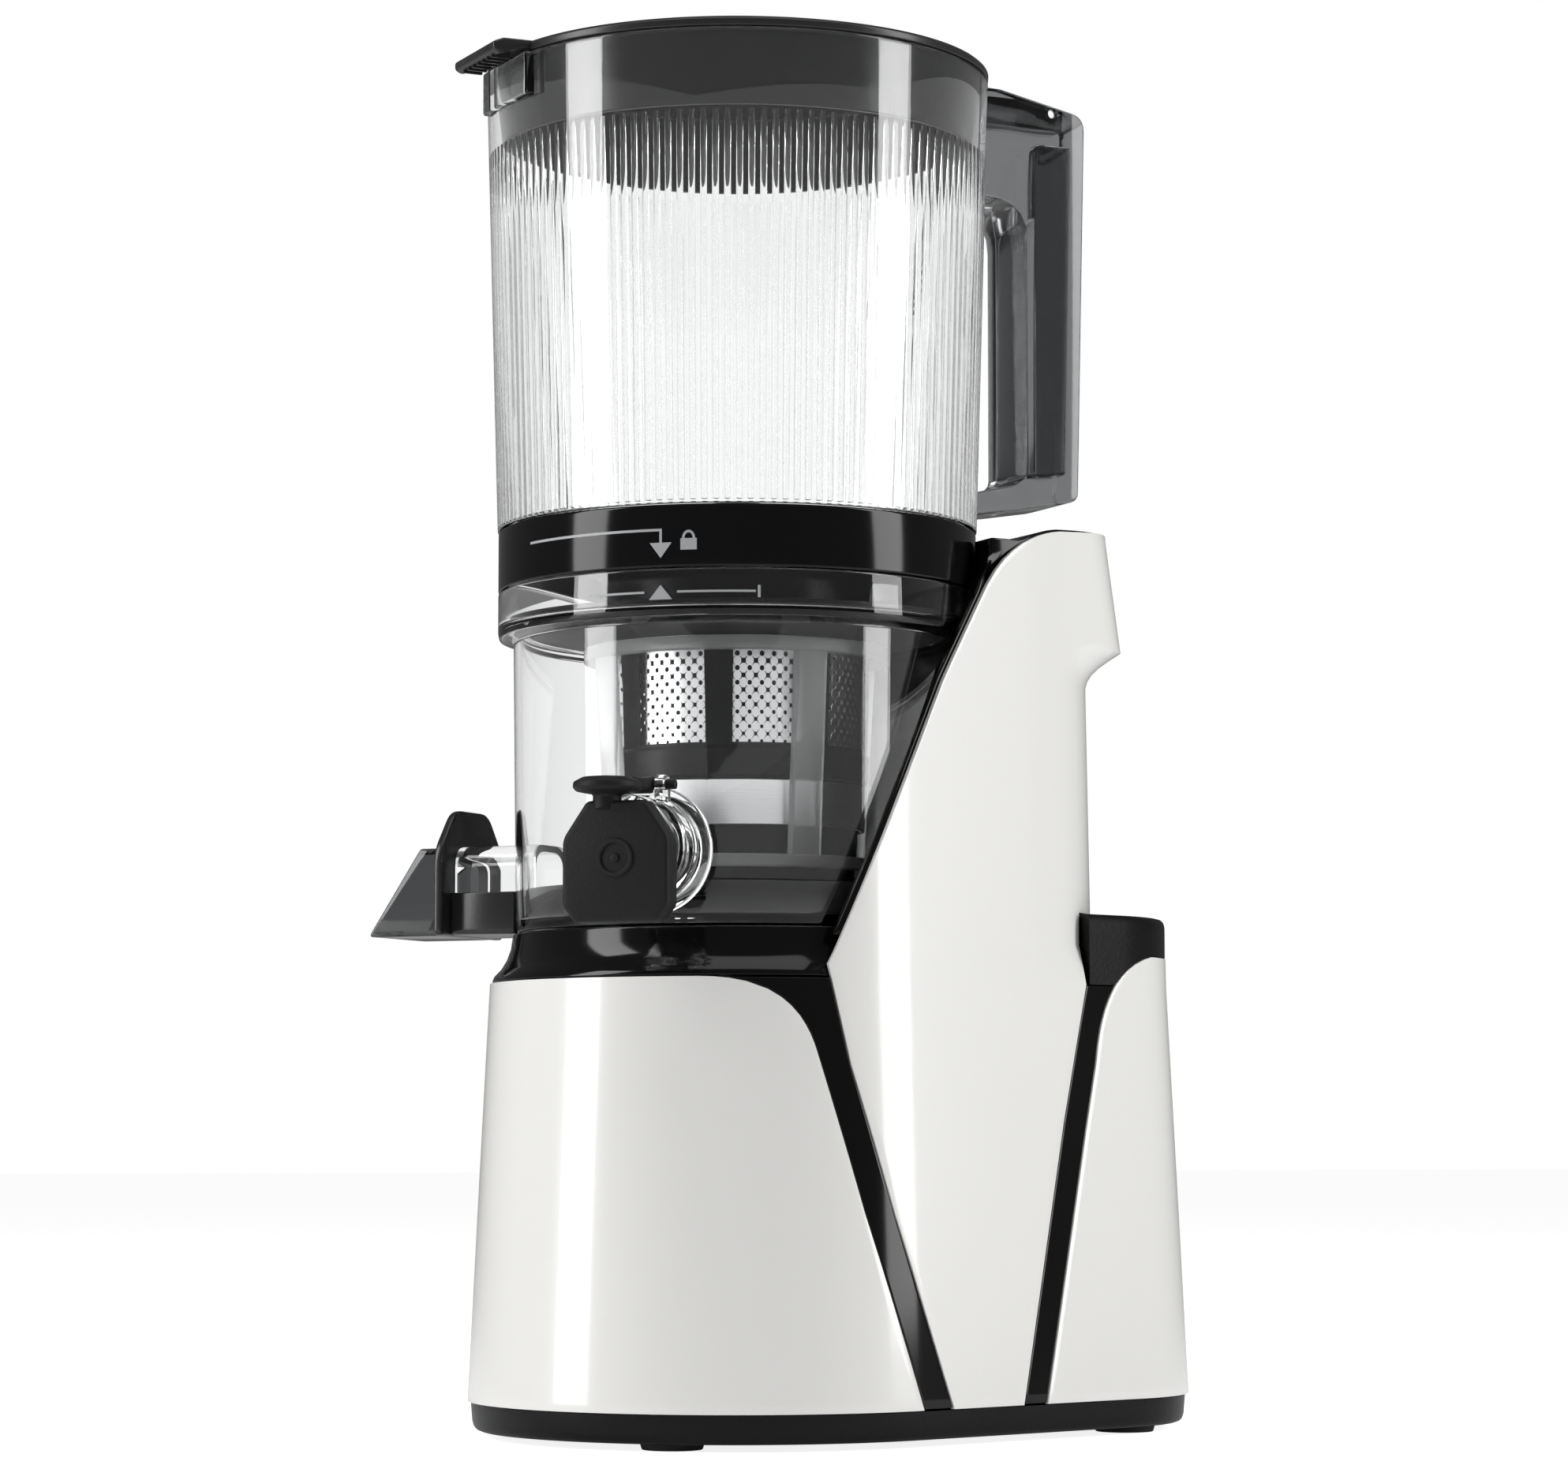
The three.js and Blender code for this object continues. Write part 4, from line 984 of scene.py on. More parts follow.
class JUICER_OT_bowl(bpy.types.Operator):
    """Smoky bowl with its flange, juice tube and pulp duct, and the tray in its foot"""

    bl_idname = "juicer.bowl"
    bl_label = "Bowl"

    def shell(self):
        z0 = BOWL_FOOT
        corners = [
            (14, z0), (71.2, z0, 0.8), (71.9, 176), (72.9, 255.5, 0.5), (FLANGE_R - 0.4, 257, 0.6),
            (FLANGE_R, 259, 0.5), (FLANGE_R, BOWL_TOP, 0.8), (FLANGE_R - 2.6, BOWL_TOP, 0.5),
            (FLANGE_R - 2.6, 260.5, 1.2), (70.8, 258, 1.5), (69.6, 176), (69, z0 + 2.6, 2),
            (16.4, z0 + 2.6, 1),
            (16.4, 171, 0.6), (14, 171, 0.6),
        ]
        return turned("bowl_wall", corners, 160)

    def execute(self, context):
        bowl = self.shell()
        juice_hole = rod("hole", 15.9, (60, 0, JUICE_Z), (80, 0, JUICE_Z))
        pulp_hole = self.duct("hole", 12.9, 166.1, 191.9, 60, 80)
        bowl = cut(bowl, aimed(juice_hole, JUICE_ANGLE), aimed(pulp_hole, PULP_ANGLE))
        tube = aimed(self.juice_tube(), JUICE_ANGLE)
        duct = aimed(self.pulp_duct(), PULP_ANGLE)
        obj = merged("bowl_clear", bowl, tube, duct, aimed(self.ears(), JUICE_ANGLE))
        dress(obj, "bowl", "smoky_clear", smoky_clear(), "bowl")
        self.tray()
        gasket = turned("bowl_hub_seal", [
            (7.5, BOWL_FOOT), (13.7, BOWL_FOOT, 0.4), (13.7, 168, 1), (7.5, 168, 0.6),
        ], 64)
        dress(gasket, "bowl", "soft_grey", soft_grey(), "bowl_gasket")
        return {"FINISHED"}

    def juice_tube(self):
        """Clear outlet tube with a stepped collar near the bowl and a bead at its mouth."""
        corners = [
            (13.6, 69), (16, 70), (16, 75.6, 0.3), (20, 76.2, 0.6), (20, 78.8, 0.8), (16.2, 79.4, 0.5),
            (16, 84), (17.2, 84.8, 0.4), (17.2, 86.4, 0.4), (16, 87.2), (16, 99.4, 0.5), (13.6, 99.4, 0.5),
        ]
        obj = turned("juice_tube", corners, 96)
        return lay_along_x(obj, JUICE_Z)

    def duct(self, name, half, low, high, start, end):
        """A bar along +X with the pulp duct's round-topped section."""
        outline = rounded([(-half, low, 2), (half, low, 2), (half, high, 7), (-half, high, 7)], 6)
        return solid(name, along_x(outline, start, end))

    def pulp_duct(self):
        outer = self.duct("duct", 13, 166, 192, 69.5, 97)
        return cut(outer, self.duct("bore", 10.8, 168.2, 189.8, 60, 110))

    def ears(self):
        """Two ears on the juice tube that hold the cap's pin."""
        rho, z = CAP_HINGE
        outline = rounded([
            (rho - 3.4, 198), (rho + 3.4, 198), (rho + 3.3, z + 3, 3), (rho - 3.3, z + 3, 3),
        ], 5)
        parts = []
        for low, high in ((-9, -6.3), (6.3, 9)):
            ear = solid("ear", along_y(outline, low, high))
            parts.append(cut(ear, rod("hole", 1.7, (rho, -12, z), (rho, 12, z), 24)))
        return merged("ears", *parts)

    def tray(self):
        """Dark tray in the bowl's foot, open towards the two outlets."""
        bottom = BOWL_FOOT + 2.9
        tray = turned("tray", [
            (17, bottom), (67.9, bottom, 1), (68.6, 175.2, 0.6), (66, 175.2, 0.6), (65.4, bottom + 2.4, 2),
            (17, bottom + 2.4),
        ], 128)
        tools = [aimed(brick("notch", (50, 90), (-14, 14), (169, 200)), JUICE_ANGLE),
                 aimed(brick("notch", (50, 90), (-14, 14), (167.4, 200)), PULP_ANGLE)]
        dress(cut(tray, *tools), "bowl", "dark_grey", lid_grey(), "bowl_tray")


def lay_along_x(obj, z):
    """Lays a piece made upright about the bowl axis so that its height runs along +X at height z."""
    centre = Matrix.Translation((AXIS.x, AXIS.y, 0))
    lay = Matrix.Rotation(math.radians(90), 4, "Y")
    obj.data.transform(Matrix.Translation((0, 0, z * MM)) @ centre @ lay @ centre.inverted())
    return obj


class JUICER_OT_strainer(bpy.types.Operator):
    """Strainer frame with its windows, the perforated basket and the plain cone below it"""

    bl_idname = "juicer.strainer"
    bl_label = "Strainer"

    WINDOWS = 8

    def frame(self):
        """Turned frame with a rim that lies on the bowl, and windows cut through its wall."""
        obj = turned("frame", [
            (33, 172), (37.5, 172, 1), (39.2, 193), (39.6, 209.4), (42.7, 209.8, 0.5), (43.0, 218.5, 0.5),
            (42.4, 219.6, 0.4), (43.4, 252.4), (44.5, 254.4, 1), (68.9, 258.8, 0.6), (68.9, 261),
            (73.8, 261, 0.4), (73.8, 262.8, 0.5), (66.5, 262.8, 0.5), (65, 261.2), (42.4, 261.2, 0.6),
            (41.4, 212), (37.4, 210), (35, 175), (33, 175),
        ], 144)
        tools = []
        for i in range(self.WINDOWS):
            tool = brick("window", (30, 60), (-12.2, 12.2), (220.5, 251.6))
            tools.append(aimed(tool, (i + WINDOW_OFFSET) * 2 * math.pi / self.WINDOWS))
        return cut(obj, *tools)

    def basket(self, sizes):
        """Steel sheet with staggered holes, laid out flat by geometry nodes and wrapped round the axis."""
        low, high = 214.0, 256.0
        radius = 41.0
        smallest = 0.55  # size of the lowest holes against the highest
        pitch = sizes.hole_pitch / MM

        def middle(share):
            return lerp(radius - 1.1, radius - 0.2, share) * MM

        around = int(2 * math.pi * radius / pitch)
        rows = int((high - low) / (pitch * CELL_HEIGHT))
        cell = perforated_cell(sizes.hole_radius / MM / pitch)
        obj = linked("basket", bpy.data.meshes.new("basket"))
        tile = linked("cell", cell)
        repeat = obj.modifiers.new("Repeat", "NODES")
        repeat.node_group, sockets = tiling_tree()
        repeat[sockets["Cell"]] = tile
        repeat[sockets["Around"]] = around
        repeat[sockets["Rows"]] = rows
        settle(obj)
        bpy.data.objects.remove(tile)
        work = bmesh.new()
        work.from_mesh(obj.data)
        bmesh.ops.remove_doubles(work, verts=work.verts, dist=0.002)
        for v in work.verts:
            whole = Vector((round(v.co.x), round(v.co.y)))
            half = Vector((math.floor(v.co.x) + 0.5, math.floor(v.co.y) + 0.5))
            flat = v.co.to_2d()
            centre = whole if (flat - whole).length < (flat - half).length else half
            flat = centre + (flat - centre) * lerp(smallest, 1.0, v.co.y / rows)
            angle = flat.x / around * 2 * math.pi
            share = flat.y / rows
            r = middle(share)
            v.co = (AXIS.x + r * math.cos(angle), AXIS.y + r * math.sin(angle), lerp(low, high, share) * MM)
        bmesh.ops.remove_doubles(work, verts=work.verts, dist=2e-6)
        work.to_mesh(obj.data)
        work.free()
        soften(obj)
        wall = obj.modifiers.new("Wall", "SOLIDIFY")
        wall.thickness = 0.5 * MM
        wall.offset = 0
        settle(obj, 50)
        normals = []
        for v in obj.data.vertices:
            out = Vector((v.co.x - AXIS.x, v.co.y - AXIS.y, 0))
            outside = out.length > middle((v.co.z / MM - low) / (high - low))
            normals.append(out.normalized() * (1 if outside else -1))
        obj.data.normals_split_custom_set_from_vertices(normals)
        return obj

    def execute(self, context):
        sizes = context.scene.juicer_sizes
        dress(self.frame(), "bowl", "black_satin", black_satin(), "strainer_frame").name = "strainer_body"
        basket = self.basket(sizes)
        basket.name = "strainer_mesh"
        dress(basket, "bowl", "steel", brushed_steel(), "strainer_basket")
        cone = turned("strainer_band", [
            (40, 194.4), (41.5, 194.4, 0.3), (42.4, 208.7, 0.3), (40.4, 208.7),
        ], 128)
        dress(cone, "bowl", "steel", brushed_steel(), "strainer_cone")
        return {"FINISHED"}


CELL_HEIGHT = 1.066  # height of one cell of the hole pattern, in cell widths


def perforated_cell(hole):
    """One unit cell of a staggered pattern: a whole hole in the middle and quarter holes at the corners."""
    mesh = bpy.data.meshes.new("cell")
    work = bmesh.new()
    arc = 3

    def ring(cx, cy, start, count):
        """An arc of the hole's rim, a quarter turn from the start angle; negative counts go clockwise."""
        end = start + math.copysign(90, count)
        return [(cx + hole * math.cos(math.radians(a)), cy + hole * math.sin(math.radians(a)) / CELL_HEIGHT)
                for a in steps(start, end, abs(count))]

    corners = [ring(0, 0, 90, -arc), ring(1, 0, 180, -arc), ring(1, 1, 270, -arc), ring(0, 1, 360, -arc)]
    for side, (corner, following) in enumerate(zip(corners, corners[1:] + corners[:1])):
        inner = ring(0.5, 0.5, 225 + 90 * side, arc * 2)
        outline = corner[-2:] + following[:2] + inner[::-1]
        work.faces.new([work.verts.new((x, y, 0)) for x, y in outline])
    work.to_mesh(mesh)
    work.free()
    return mesh


def tiling_tree():
    """Copies a unit cell over a grid of whole numbers."""
    sockets, given, made = geometry_tree("tiling", Cell="Object", Around="Int", Rows="Int")
    nodes = made.id_data.nodes

    def minus_one(count):
        less = maths(nodes, "SUBTRACT")
        less.inputs[1].default_value = 1.0
        join(given, count, less, 0)
        return less

    grid = nodes.new("GeometryNodeMeshGrid")
    join(given, "Around", grid, "Vertices X")
    join(given, "Rows", grid, "Vertices Y")
    join(minus_one("Around"), 0, grid, "Size X")
    join(minus_one("Rows"), 0, grid, "Size Y")
    shift = nodes.new("ShaderNodeCombineXYZ")
    for axis, count in (("X", "Around"), ("Y", "Rows")):
        half = maths(nodes, "MULTIPLY")
        half.inputs[1].default_value = 0.5
        join(minus_one(count), 0, half, 0)
        join(half, 0, shift, axis)
    place = nodes.new("GeometryNodeTransform")
    join(grid, "Mesh", place, "Geometry")
    join(shift, "Vector", place, "Translation")
    info = nodes.new("GeometryNodeObjectInfo")
    join(given, "Cell", info, "Object")
    copies = nodes.new("GeometryNodeInstanceOnPoints")
    join(place, "Geometry", copies, "Points")
    join(info, "Geometry", copies, "Instance")
    real = nodes.new("GeometryNodeRealizeInstances")
    join(copies, "Instances", real, "Geometry")
    painted(real, brushed_steel(), made)
    return made.id_data, sockets


class JUICER_OT_brush(bpy.types.Operator):
    """Clear brush frame that turns round the strainer, with its silicone blades"""

    bl_idname = "juicer.brush"
    bl_label = "Brush"

    def execute(self, context):
        parts = [
            turned("ring", [(46.4, 249.5, 0.4), (50, 249.5, 0.6), (50, 254, 0.6), (46.4, 254, 0.4)], 96),
            turned("ring", [(41.4, 181, 0.4), (45.6, 181, 0.6), (45.6, 185, 0.6), (41.4, 185, 0.4)], 96),
        ]
        for i in range(4):
            angle = (i + BRUSH_OFFSET) * math.pi / 2
            rows = []
            for z, inner, outer in ((183, 41.8, 45.2), (252, 46.5, 49.7)):
                rows.append([(inner, -5.5, z), (outer, -5.5, z), (outer, 5.5, z), (inner, 5.5, z)])
            bar = lofted("bar", rows)
            parts.append(aimed(bevelled(bar, 0.8, 3, 50), angle))
        dress(merged("brush_cage", *parts), "brush", "smoky_clear", frosted_clear(), "brush_frame")
        for number, i in ((1, 0), (2, 2)):
            rows = []
            for z, inner, outer in ((226, 43.6, 44.25), (249, 44.15, 45.8)):
                rows.append([(inner, -1, z), (outer, -1, z), (outer, 1, z), (inner, 1, z)])
            blade = aimed(lofted(f"wiper_{number}", rows), (i + BRUSH_OFFSET) * math.pi / 2)
            dress(blade, "brush", "soft_grey", soft_grey(), f"brush_blade_{number}")
        return {"FINISHED"}


class JUICER_OT_screw(bpy.types.Operator):
    """Screw that draws the fruit down and presses it"""

    bl_idname = "juicer.screw"
    bl_label = "Screw"

    def flight(self, start):
        """One helical flight, thick at its root and thin at its rim."""
        rings = []
        count = 72
        for i in range(count + 1):
            share = i / count
            angle = start + 1.25 * 2 * math.pi * share
            z = lerp(184, 252, share)
            rim = lerp(31.5, 36, (z - 180) / 76)
            section = rounded([(12, -3.2), (rim, -1.8, 0.6), (rim, 1.8, 0.6), (12, 3.2)], 2)
            rings.append([(r * math.cos(angle), r * math.sin(angle), z + up) for r, up in section])
        return solid("flight", rings)

    def execute(self, context):
        core = turned("core", [
            (7, 176.5), (12, 176.5, 1), (22, 196, 8), (25, 215, 8), (22, 262, 2), (27, 268, 3), (24, 290, 10),
            (14, 301, 5), (0, 304), (0, 193), (7, 193),
        ], 96)
        obj = merged("press_screw", core, self.flight(0), self.flight(math.pi))
        dress(obj, "auger", "dark_grey", lid_grey(), "auger")
        return {"FINISHED"}


class JUICER_OT_juice_cap(bpy.types.Operator):
    """Soft flip cap on the juice tube, its seal and its pin"""

    bl_idname = "juicer.juice_cap"
    bl_label = "Juice cap"

    def execute(self, context):
        outline = rounded([
            (-13.5, 160.5, 3), (13.5, 160.5, 3), (17.4, 165.5, 3), (17.4, 186, 7), (9.5, 197.5, 2.5),
            (-9.5, 197.5, 2.5), (-17.4, 186, 7), (-17.4, 165.5, 3),
        ], 6)
        body = bevelled(solid("cap_body", along_x(outline, 100, 108.3)), 1.4, 4, 50)
        mark = turned("mark", [
            (4.1, 107.9), (4.6, 108.9, 0.3), (5.8, 108.9, 0.3), (6.3, 107.9), (5.2, 107.5),
        ], 64)
        dot = turned("dot", [(0, 107.5), (1.5, 107.9), (1.4, 108.8, 0.3), (0, 108.9)], 40, close=False)
        knob = turned("knob", [
            (0, 195), (4.6, 195.2), (4.3, 199.4, 1), (9.6, 200.5, 1), (10.5, 201.6, 0.6), (10.4, 203.3, 1),
            (7.6, 204.8, 1.6), (0, 205),
        ], 64, close=False)
        knob.data.transform(Matrix.Translation((104.6 * MM, -4 * MM, 0)))
        rho, z = CAP_HINGE
        arm_outline = rounded([
            (rho, z - 2.9), (rho + 4, z - 1.6, 2), (102, 201.4), (104, 204.8), (rho + 6, 205.2, 3),
            (rho, z + 2.6),
        ], 5)
        arm = bevelled(solid("arm", along_y(arm_outline, -5, 5)), 0.8, 3, 50)
        barrel = rod("barrel", 3.2, (rho, -5.8, z), (rho, 5.8, z), 40, 0.5)
        cap = merged("spout_cap", body, lay_along_x(mark, 180), lay_along_x(dot, 180), knob, arm, barrel)
        cap = cut(cap, rod("hole", 1.55, (rho, -12, z), (rho, 12, z), 32))
        dress(aimed(cap, JUICE_ANGLE), "juice_cap", "soft_grey", soft_grey(), "juice_cap")
        seal = rod("spout_cap_seal", 8, (97.7, 0, 181), (99.8, 0, 181), 48, 0.6)
        dress(aimed(seal, JUICE_ANGLE), "juice_cap", "soft_grey", soft_grey(), "cap_seal")
        pin = rod("cap_pin", 1.5, (rho, -8.8, z), (rho, 8.8, z), 32, 0.2)
        dress(aimed(pin, JUICE_ANGLE), "bowl", "steel", brushed_steel(), "cap_hinge_pin")
        return {"FINISHED"}


class JUICER_OT_pulp_spout(bpy.types.Operator):
    """Pulp channel, its collar and the slanted nozzle"""

    bl_idname = "juicer.pulp_spout"
    bl_label = "Pulp spout"

    def execute(self, context):
        channel_outline = rounded([
            (-15.6, 162.3, 2), (15.6, 162.3, 2), (15.6, 176.3, 0.5), (13.3, 176.3, 0.5), (13.3, 165.7, 1),
            (-13.3, 165.7, 1), (-13.3, 176.3, 0.5), (-15.6, 176.3, 0.5),
        ])
        channel = bevelled(solid("pulp_trough", along_x(channel_outline, 73.6, 97)), 0.3, 2, 60)
        dress(aimed(channel, PULP_ANGLE), "bowl", "dark_grey", lid_grey(), "pulp_channel")
        plate_outline = rounded([
            (-22, 162, 2), (22, 162, 2), (22, 190, 14), (11, 204, 9), (-11, 204, 9), (-22, 190, 14),
        ], 8)
        plate = bevelled(solid("pulp_plate", along_x(plate_outline, 97.3, 100.4)), 0.9, 3, 50)
        bore = rounded([(-10.8, 168.2, 2), (10.8, 168.2, 2), (10.8, 189.8, 7), (-10.8, 189.8, 7)], 6)
        tool = solid("bore", along_x(bore, 90, 110))
        dress(aimed(cut(plate, tool), PULP_ANGLE), "bowl", "dark_grey", lid_grey(), "pulp_collar")
        outer = rounded([(100.7, 162, 0.5), (127, 162, 1), (107.5, 191, 1.5), (100.7, 191, 0.5)], 4)
        wedge = bevelled(solid("pulp_beak", along_y(outer, -18, 18)), 0.8, 3, 40)
        wedge = cut(wedge, brick("hollow", (90, 140), (-16, 16), (164, 189)))
        dress(aimed(wedge, PULP_ANGLE), "bowl", "smoky_clear", smoky_dark(), "pulp_nozzle")
        return {"FINISHED"}


def hopper_outer(z):
    """Outer radius of the hopper at a height."""
    return lerp(78.3, 82.6, (z - HOPPER_FOOT) / (HOPPER_TOP - HOPPER_FOOT))


class JUICER_OT_hopper(bpy.types.Operator):
    """Clear hopper with ribs round its inside and a latch pocket at its front, and its dark floor"""

    bl_idname = "juicer.hopper"
    bl_label = "Hopper"

    RIBS_TOP = 416.0

    def wall(self):
        corners = [
            (hopper_outer(HOPPER_FOOT) - 3, HOPPER_FOOT, 0.6), (hopper_outer(HOPPER_FOOT), HOPPER_FOOT, 0.6),
            (hopper_outer(HOPPER_TOP), HOPPER_TOP, 0.8), (hopper_outer(HOPPER_TOP) - 3, HOPPER_TOP, 0.8),
        ]
        return turned("wall", corners, 192)

    def ribs(self, sizes):
        """Ribs as one long half-round bar, set round the inside of the wall by geometry nodes."""
        low, high = HOPPER_FOOT + 1.5, self.RIBS_TOP
        depth = sizes.rib_depth / MM
        half = math.pi * (hopper_outer(low) - 3) / sizes.rib_count * 0.6
        section = []
        for a in steps(-90, 90, 6):
            section.append((-depth * math.cos(math.radians(a)), half * math.sin(math.radians(a))))
        rows = []
        for z in steps(low, high, 6):
            r = hopper_outer(z) - 3 + 0.06
            fade = smooth(high, high - 10, z) if z > high - 10 else 1.0
            rows.append([(r + dx * max(fade, 0.05), dy, z) for dx, dy in section])
        bar = solid("rib", rows)
        holder = linked("ribs", bpy.data.meshes.new("ribs"))
        repeat = holder.modifiers.new("Round", "NODES")
        repeat.node_group, sockets = turning_tree()
        repeat[sockets["Bar"]] = bar
        repeat[sockets["Count"]] = sizes.rib_count
        repeat[sockets["Centre"]] = (AXIS.x, AXIS.y, 0.0)
        settle(holder)
        bpy.data.objects.remove(bar)
        return holder

    def pocket(self):
        """Clear latch pocket in front of the wall."""
        box = brick("pocket", (-18, 18), (-83.4, -77), (427, HOPPER_TOP - 0.4))
        bore = turned("bore", [
            (0, 400), (hopper_outer(400) - 0.4, 400), (hopper_outer(450) - 0.4, 450), (0, 450),
        ], 128, close=False)
        return cut(bevelled(box, 0.9, 3, 50), bore)

    def execute(self, context):
        sizes = context.scene.juicer_sizes
        obj = merged("hopper_clear", self.wall(), self.ribs(sizes), self.pocket())
        dress(obj, "hopper", "water_clear", water_clear(), "hopper")
        floor = turned("hopper_base", [
            (40, 263, 0.8), (43, 263, 0.8), (43, 272, 2), (74.7, 284, 1), (74.7, 291.7, 0.5),
            (72.5, 291.7, 0.5), (72, 286.5, 2), (40, 275, 2),
        ], 128)
        dress(floor, "hopper", "black_satin", black_satin(), "hopper_floor")
        return {"FINISHED"}


def turning_tree():
    """Copies a bar round the bowl axis."""
    sockets, given, made = geometry_tree("turning", Bar="Object", Count="Int", Centre="Vector")
    nodes = made.id_data.nodes
    points = nodes.new("GeometryNodeMeshLine")
    points.inputs["Offset"].default_value = (0, 0, 0)
    join(given, "Count", points, "Count")
    info = nodes.new("GeometryNodeObjectInfo")
    join(given, "Bar", info, "Object")
    back = nodes.new("ShaderNodeVectorMath")
    back.operation = "SCALE"
    back.inputs["Scale"].default_value = -1.0
    join(given, "Centre", back, 0)
    centred = nodes.new("GeometryNodeTransform")
    join(info, "Geometry", centred, "Geometry")
    join(back, 0, centred, "Translation")
    index = nodes.new("GeometryNodeInputIndex")
    share = maths(nodes, "DIVIDE")
    join(index, 0, share, 0)
    join(given, "Count", share, 1)
    angle = maths(nodes, "MULTIPLY")
    angle.inputs[1].default_value = 2 * math.pi
    join(share, 0, angle, 0)
    spin = nodes.new("ShaderNodeCombineXYZ")
    join(angle, 0, spin, "Z")
    copies = nodes.new("GeometryNodeInstanceOnPoints")
    join(points, "Mesh", copies, "Points")
    join(centred, "Geometry", copies, "Instance")
    join(spin, 0, copies, "Rotation")
    real = nodes.new("GeometryNodeRealizeInstances")
    join(copies, "Instances", real, "Geometry")
    place = nodes.new("GeometryNodeTransform")
    join(real, "Geometry", place, "Geometry")
    join(given, "Centre", place, "Translation")
    painted(place, water_clear(), made)
    return made.id_data, sockets


class JUICER_OT_lock_ring(bpy.types.Operator):
    """Glossy lock ring, and the plain marks on it and on the bowl flange"""

    bl_idname = "juicer.lock_ring"
    bl_label = "Lock ring"

    MARKS_AT = math.radians(-42.8)

    def execute(self, context):
        low, high = RING_LOW[2] / MM, RING_TOP
        ring = turned("ring_gloss", [
            (75, low, 0.3), (FLANGE_R, low, 0.8), (FLANGE_R, high, 1.0), (75, high, 0.3),
        ], 192)
        dress(ring, "hopper", "black_gloss", black_gloss(), "lock_ring")
        upper = [
            self.plate([
                (-54, 284.2), (0.4, 284.2), (0.4, 279.6), (-0.4, 279.6), (-0.4, 283.4), (-54, 283.4),
            ]),
            self.plate([(-3.6, 279.8), (3.6, 279.8), (0, 275.0)]),
            self.plate([(6.4, 277.4), (11.6, 277.4), (11.6, 281.0), (6.4, 281.0)]),
            self.shackle(9.0, 281.0),
        ]
        marks = merged("ring_marks", *upper)
        dress(marks, "hopper", "steel", mark_silver())
        lower = [
            self.plate([(-3.8, 262.0), (3.8, 262.0), (0, 266.6)]),
            self.plate([(-26, 264.0), (-5.4, 264.0), (-5.4, 264.7), (-26, 264.7)]),
            self.plate([(5.4, 264.0), (30, 264.0), (30, 264.7), (5.4, 264.7)]),
            self.plate([(30.6, 262.4), (31.5, 262.4), (31.5, 266.2), (30.6, 266.2)]),
        ]
        marks = merged("flange_marks", *lower)
        dress(marks, "bowl", "steel", mark_silver())
        return {"FINISHED"}

    def wrap(self, along, z, proud):
        """A point on the ring's face, by distance along it from the marks' centre."""
        r = FLANGE_R + proud
        a = self.MARKS_AT + along / FLANGE_R
        return r * math.cos(a), r * math.sin(a), z

    def plate(self, outline):
        """A flat printed shape, curved onto the ring."""
        fine = []
        for (x0, z0), (x1, z1) in zip(outline, outline[1:] + outline[:1]):
            count = max(1, math.ceil(abs(x1 - x0) / 1.5))
            fine += [(lerp(x0, x1, i / count), lerp(z0, z1, i / count)) for i in range(count)]
        rings = [[self.wrap(x, z, proud) for x, z in fine] for proud in (-0.05, 0.04)]
        obj = lofted("mark", rings)
        work = bmesh.new()
        work.from_mesh(obj.data)
        bmesh.ops.triangulate(work, faces=work.faces)
        bmesh.ops.recalc_face_normals(work, faces=work.faces)
        work.to_mesh(obj.data)
        work.free()
        return obj

    def shackle(self, centre, foot):
        """The padlock's bow."""
        outer = [(centre + 2.1 * math.cos(a), foot + 2.6 * math.sin(a)) for a in steps(0, math.pi, 10)]
        inner = [(centre + 1.3 * math.cos(a), foot + 1.8 * math.sin(a)) for a in steps(math.pi, 0, 10)]
        return self.plate(outer + inner)


class JUICER_OT_handle(bpy.types.Operator):
    """Smoky hopper handle and the lid's hinge pin"""

    bl_idname = "juicer.handle"
    bl_label = "Handle"

    def execute(self, context):
        y, z = LID_HINGE
        body = side_plate("grip", [
            (76, 301.8), (84, 302.6, 1), (114.5, 307.6, 3), (120.1, 309, 4), (123.3, 440.4, 6), (91, 447, 4),
            (76, 447.3),
        ], 14, 0)
        gap = side_plate("gap", [
            (60, 305), (96, 313, 2), (100.5, 316, 4), (100.5, 410, 14), (60, 410),
        ], 30, 0)
        hopper = turned("space", [
            (0, 280), (hopper_outer(280) + 0.3, 280), (hopper_outer(460) + 0.3, 460), (0, 460),
        ], 128, close=False)
        slot = brick("slot", (-7.5, 7.5), (60, y + 6), (z - 5, 460))
        rim = brick("rim", (-30, 30), (60, 84.4), (HOPPER_TOP - 0.2, 460))
        hole = rod("hole", 1.8, (-30, y, z), (30, y, z), 32)
        body = bevelled(cut(body, gap, hopper, slot, rim), 1.3, 3, 50)
        core = side_plate("core", [(105, 316, 2), (116.6, 318, 2), (119.2, 430, 2), (105, 430, 2)], 11.2, 1.0)
        body = cut(body, hole, core)
        dress(body, "hopper", "dark_grey", smoky_grip(), "handle").name = "hopper_handle"
        pin = rod("lid_pin", 1.5, (-13, y, z), (13, y, z), 32, 0.2)
        dress(pin, "hopper", "steel", brushed_steel(), "lid_hinge_pin")
        return {"FINISHED"}


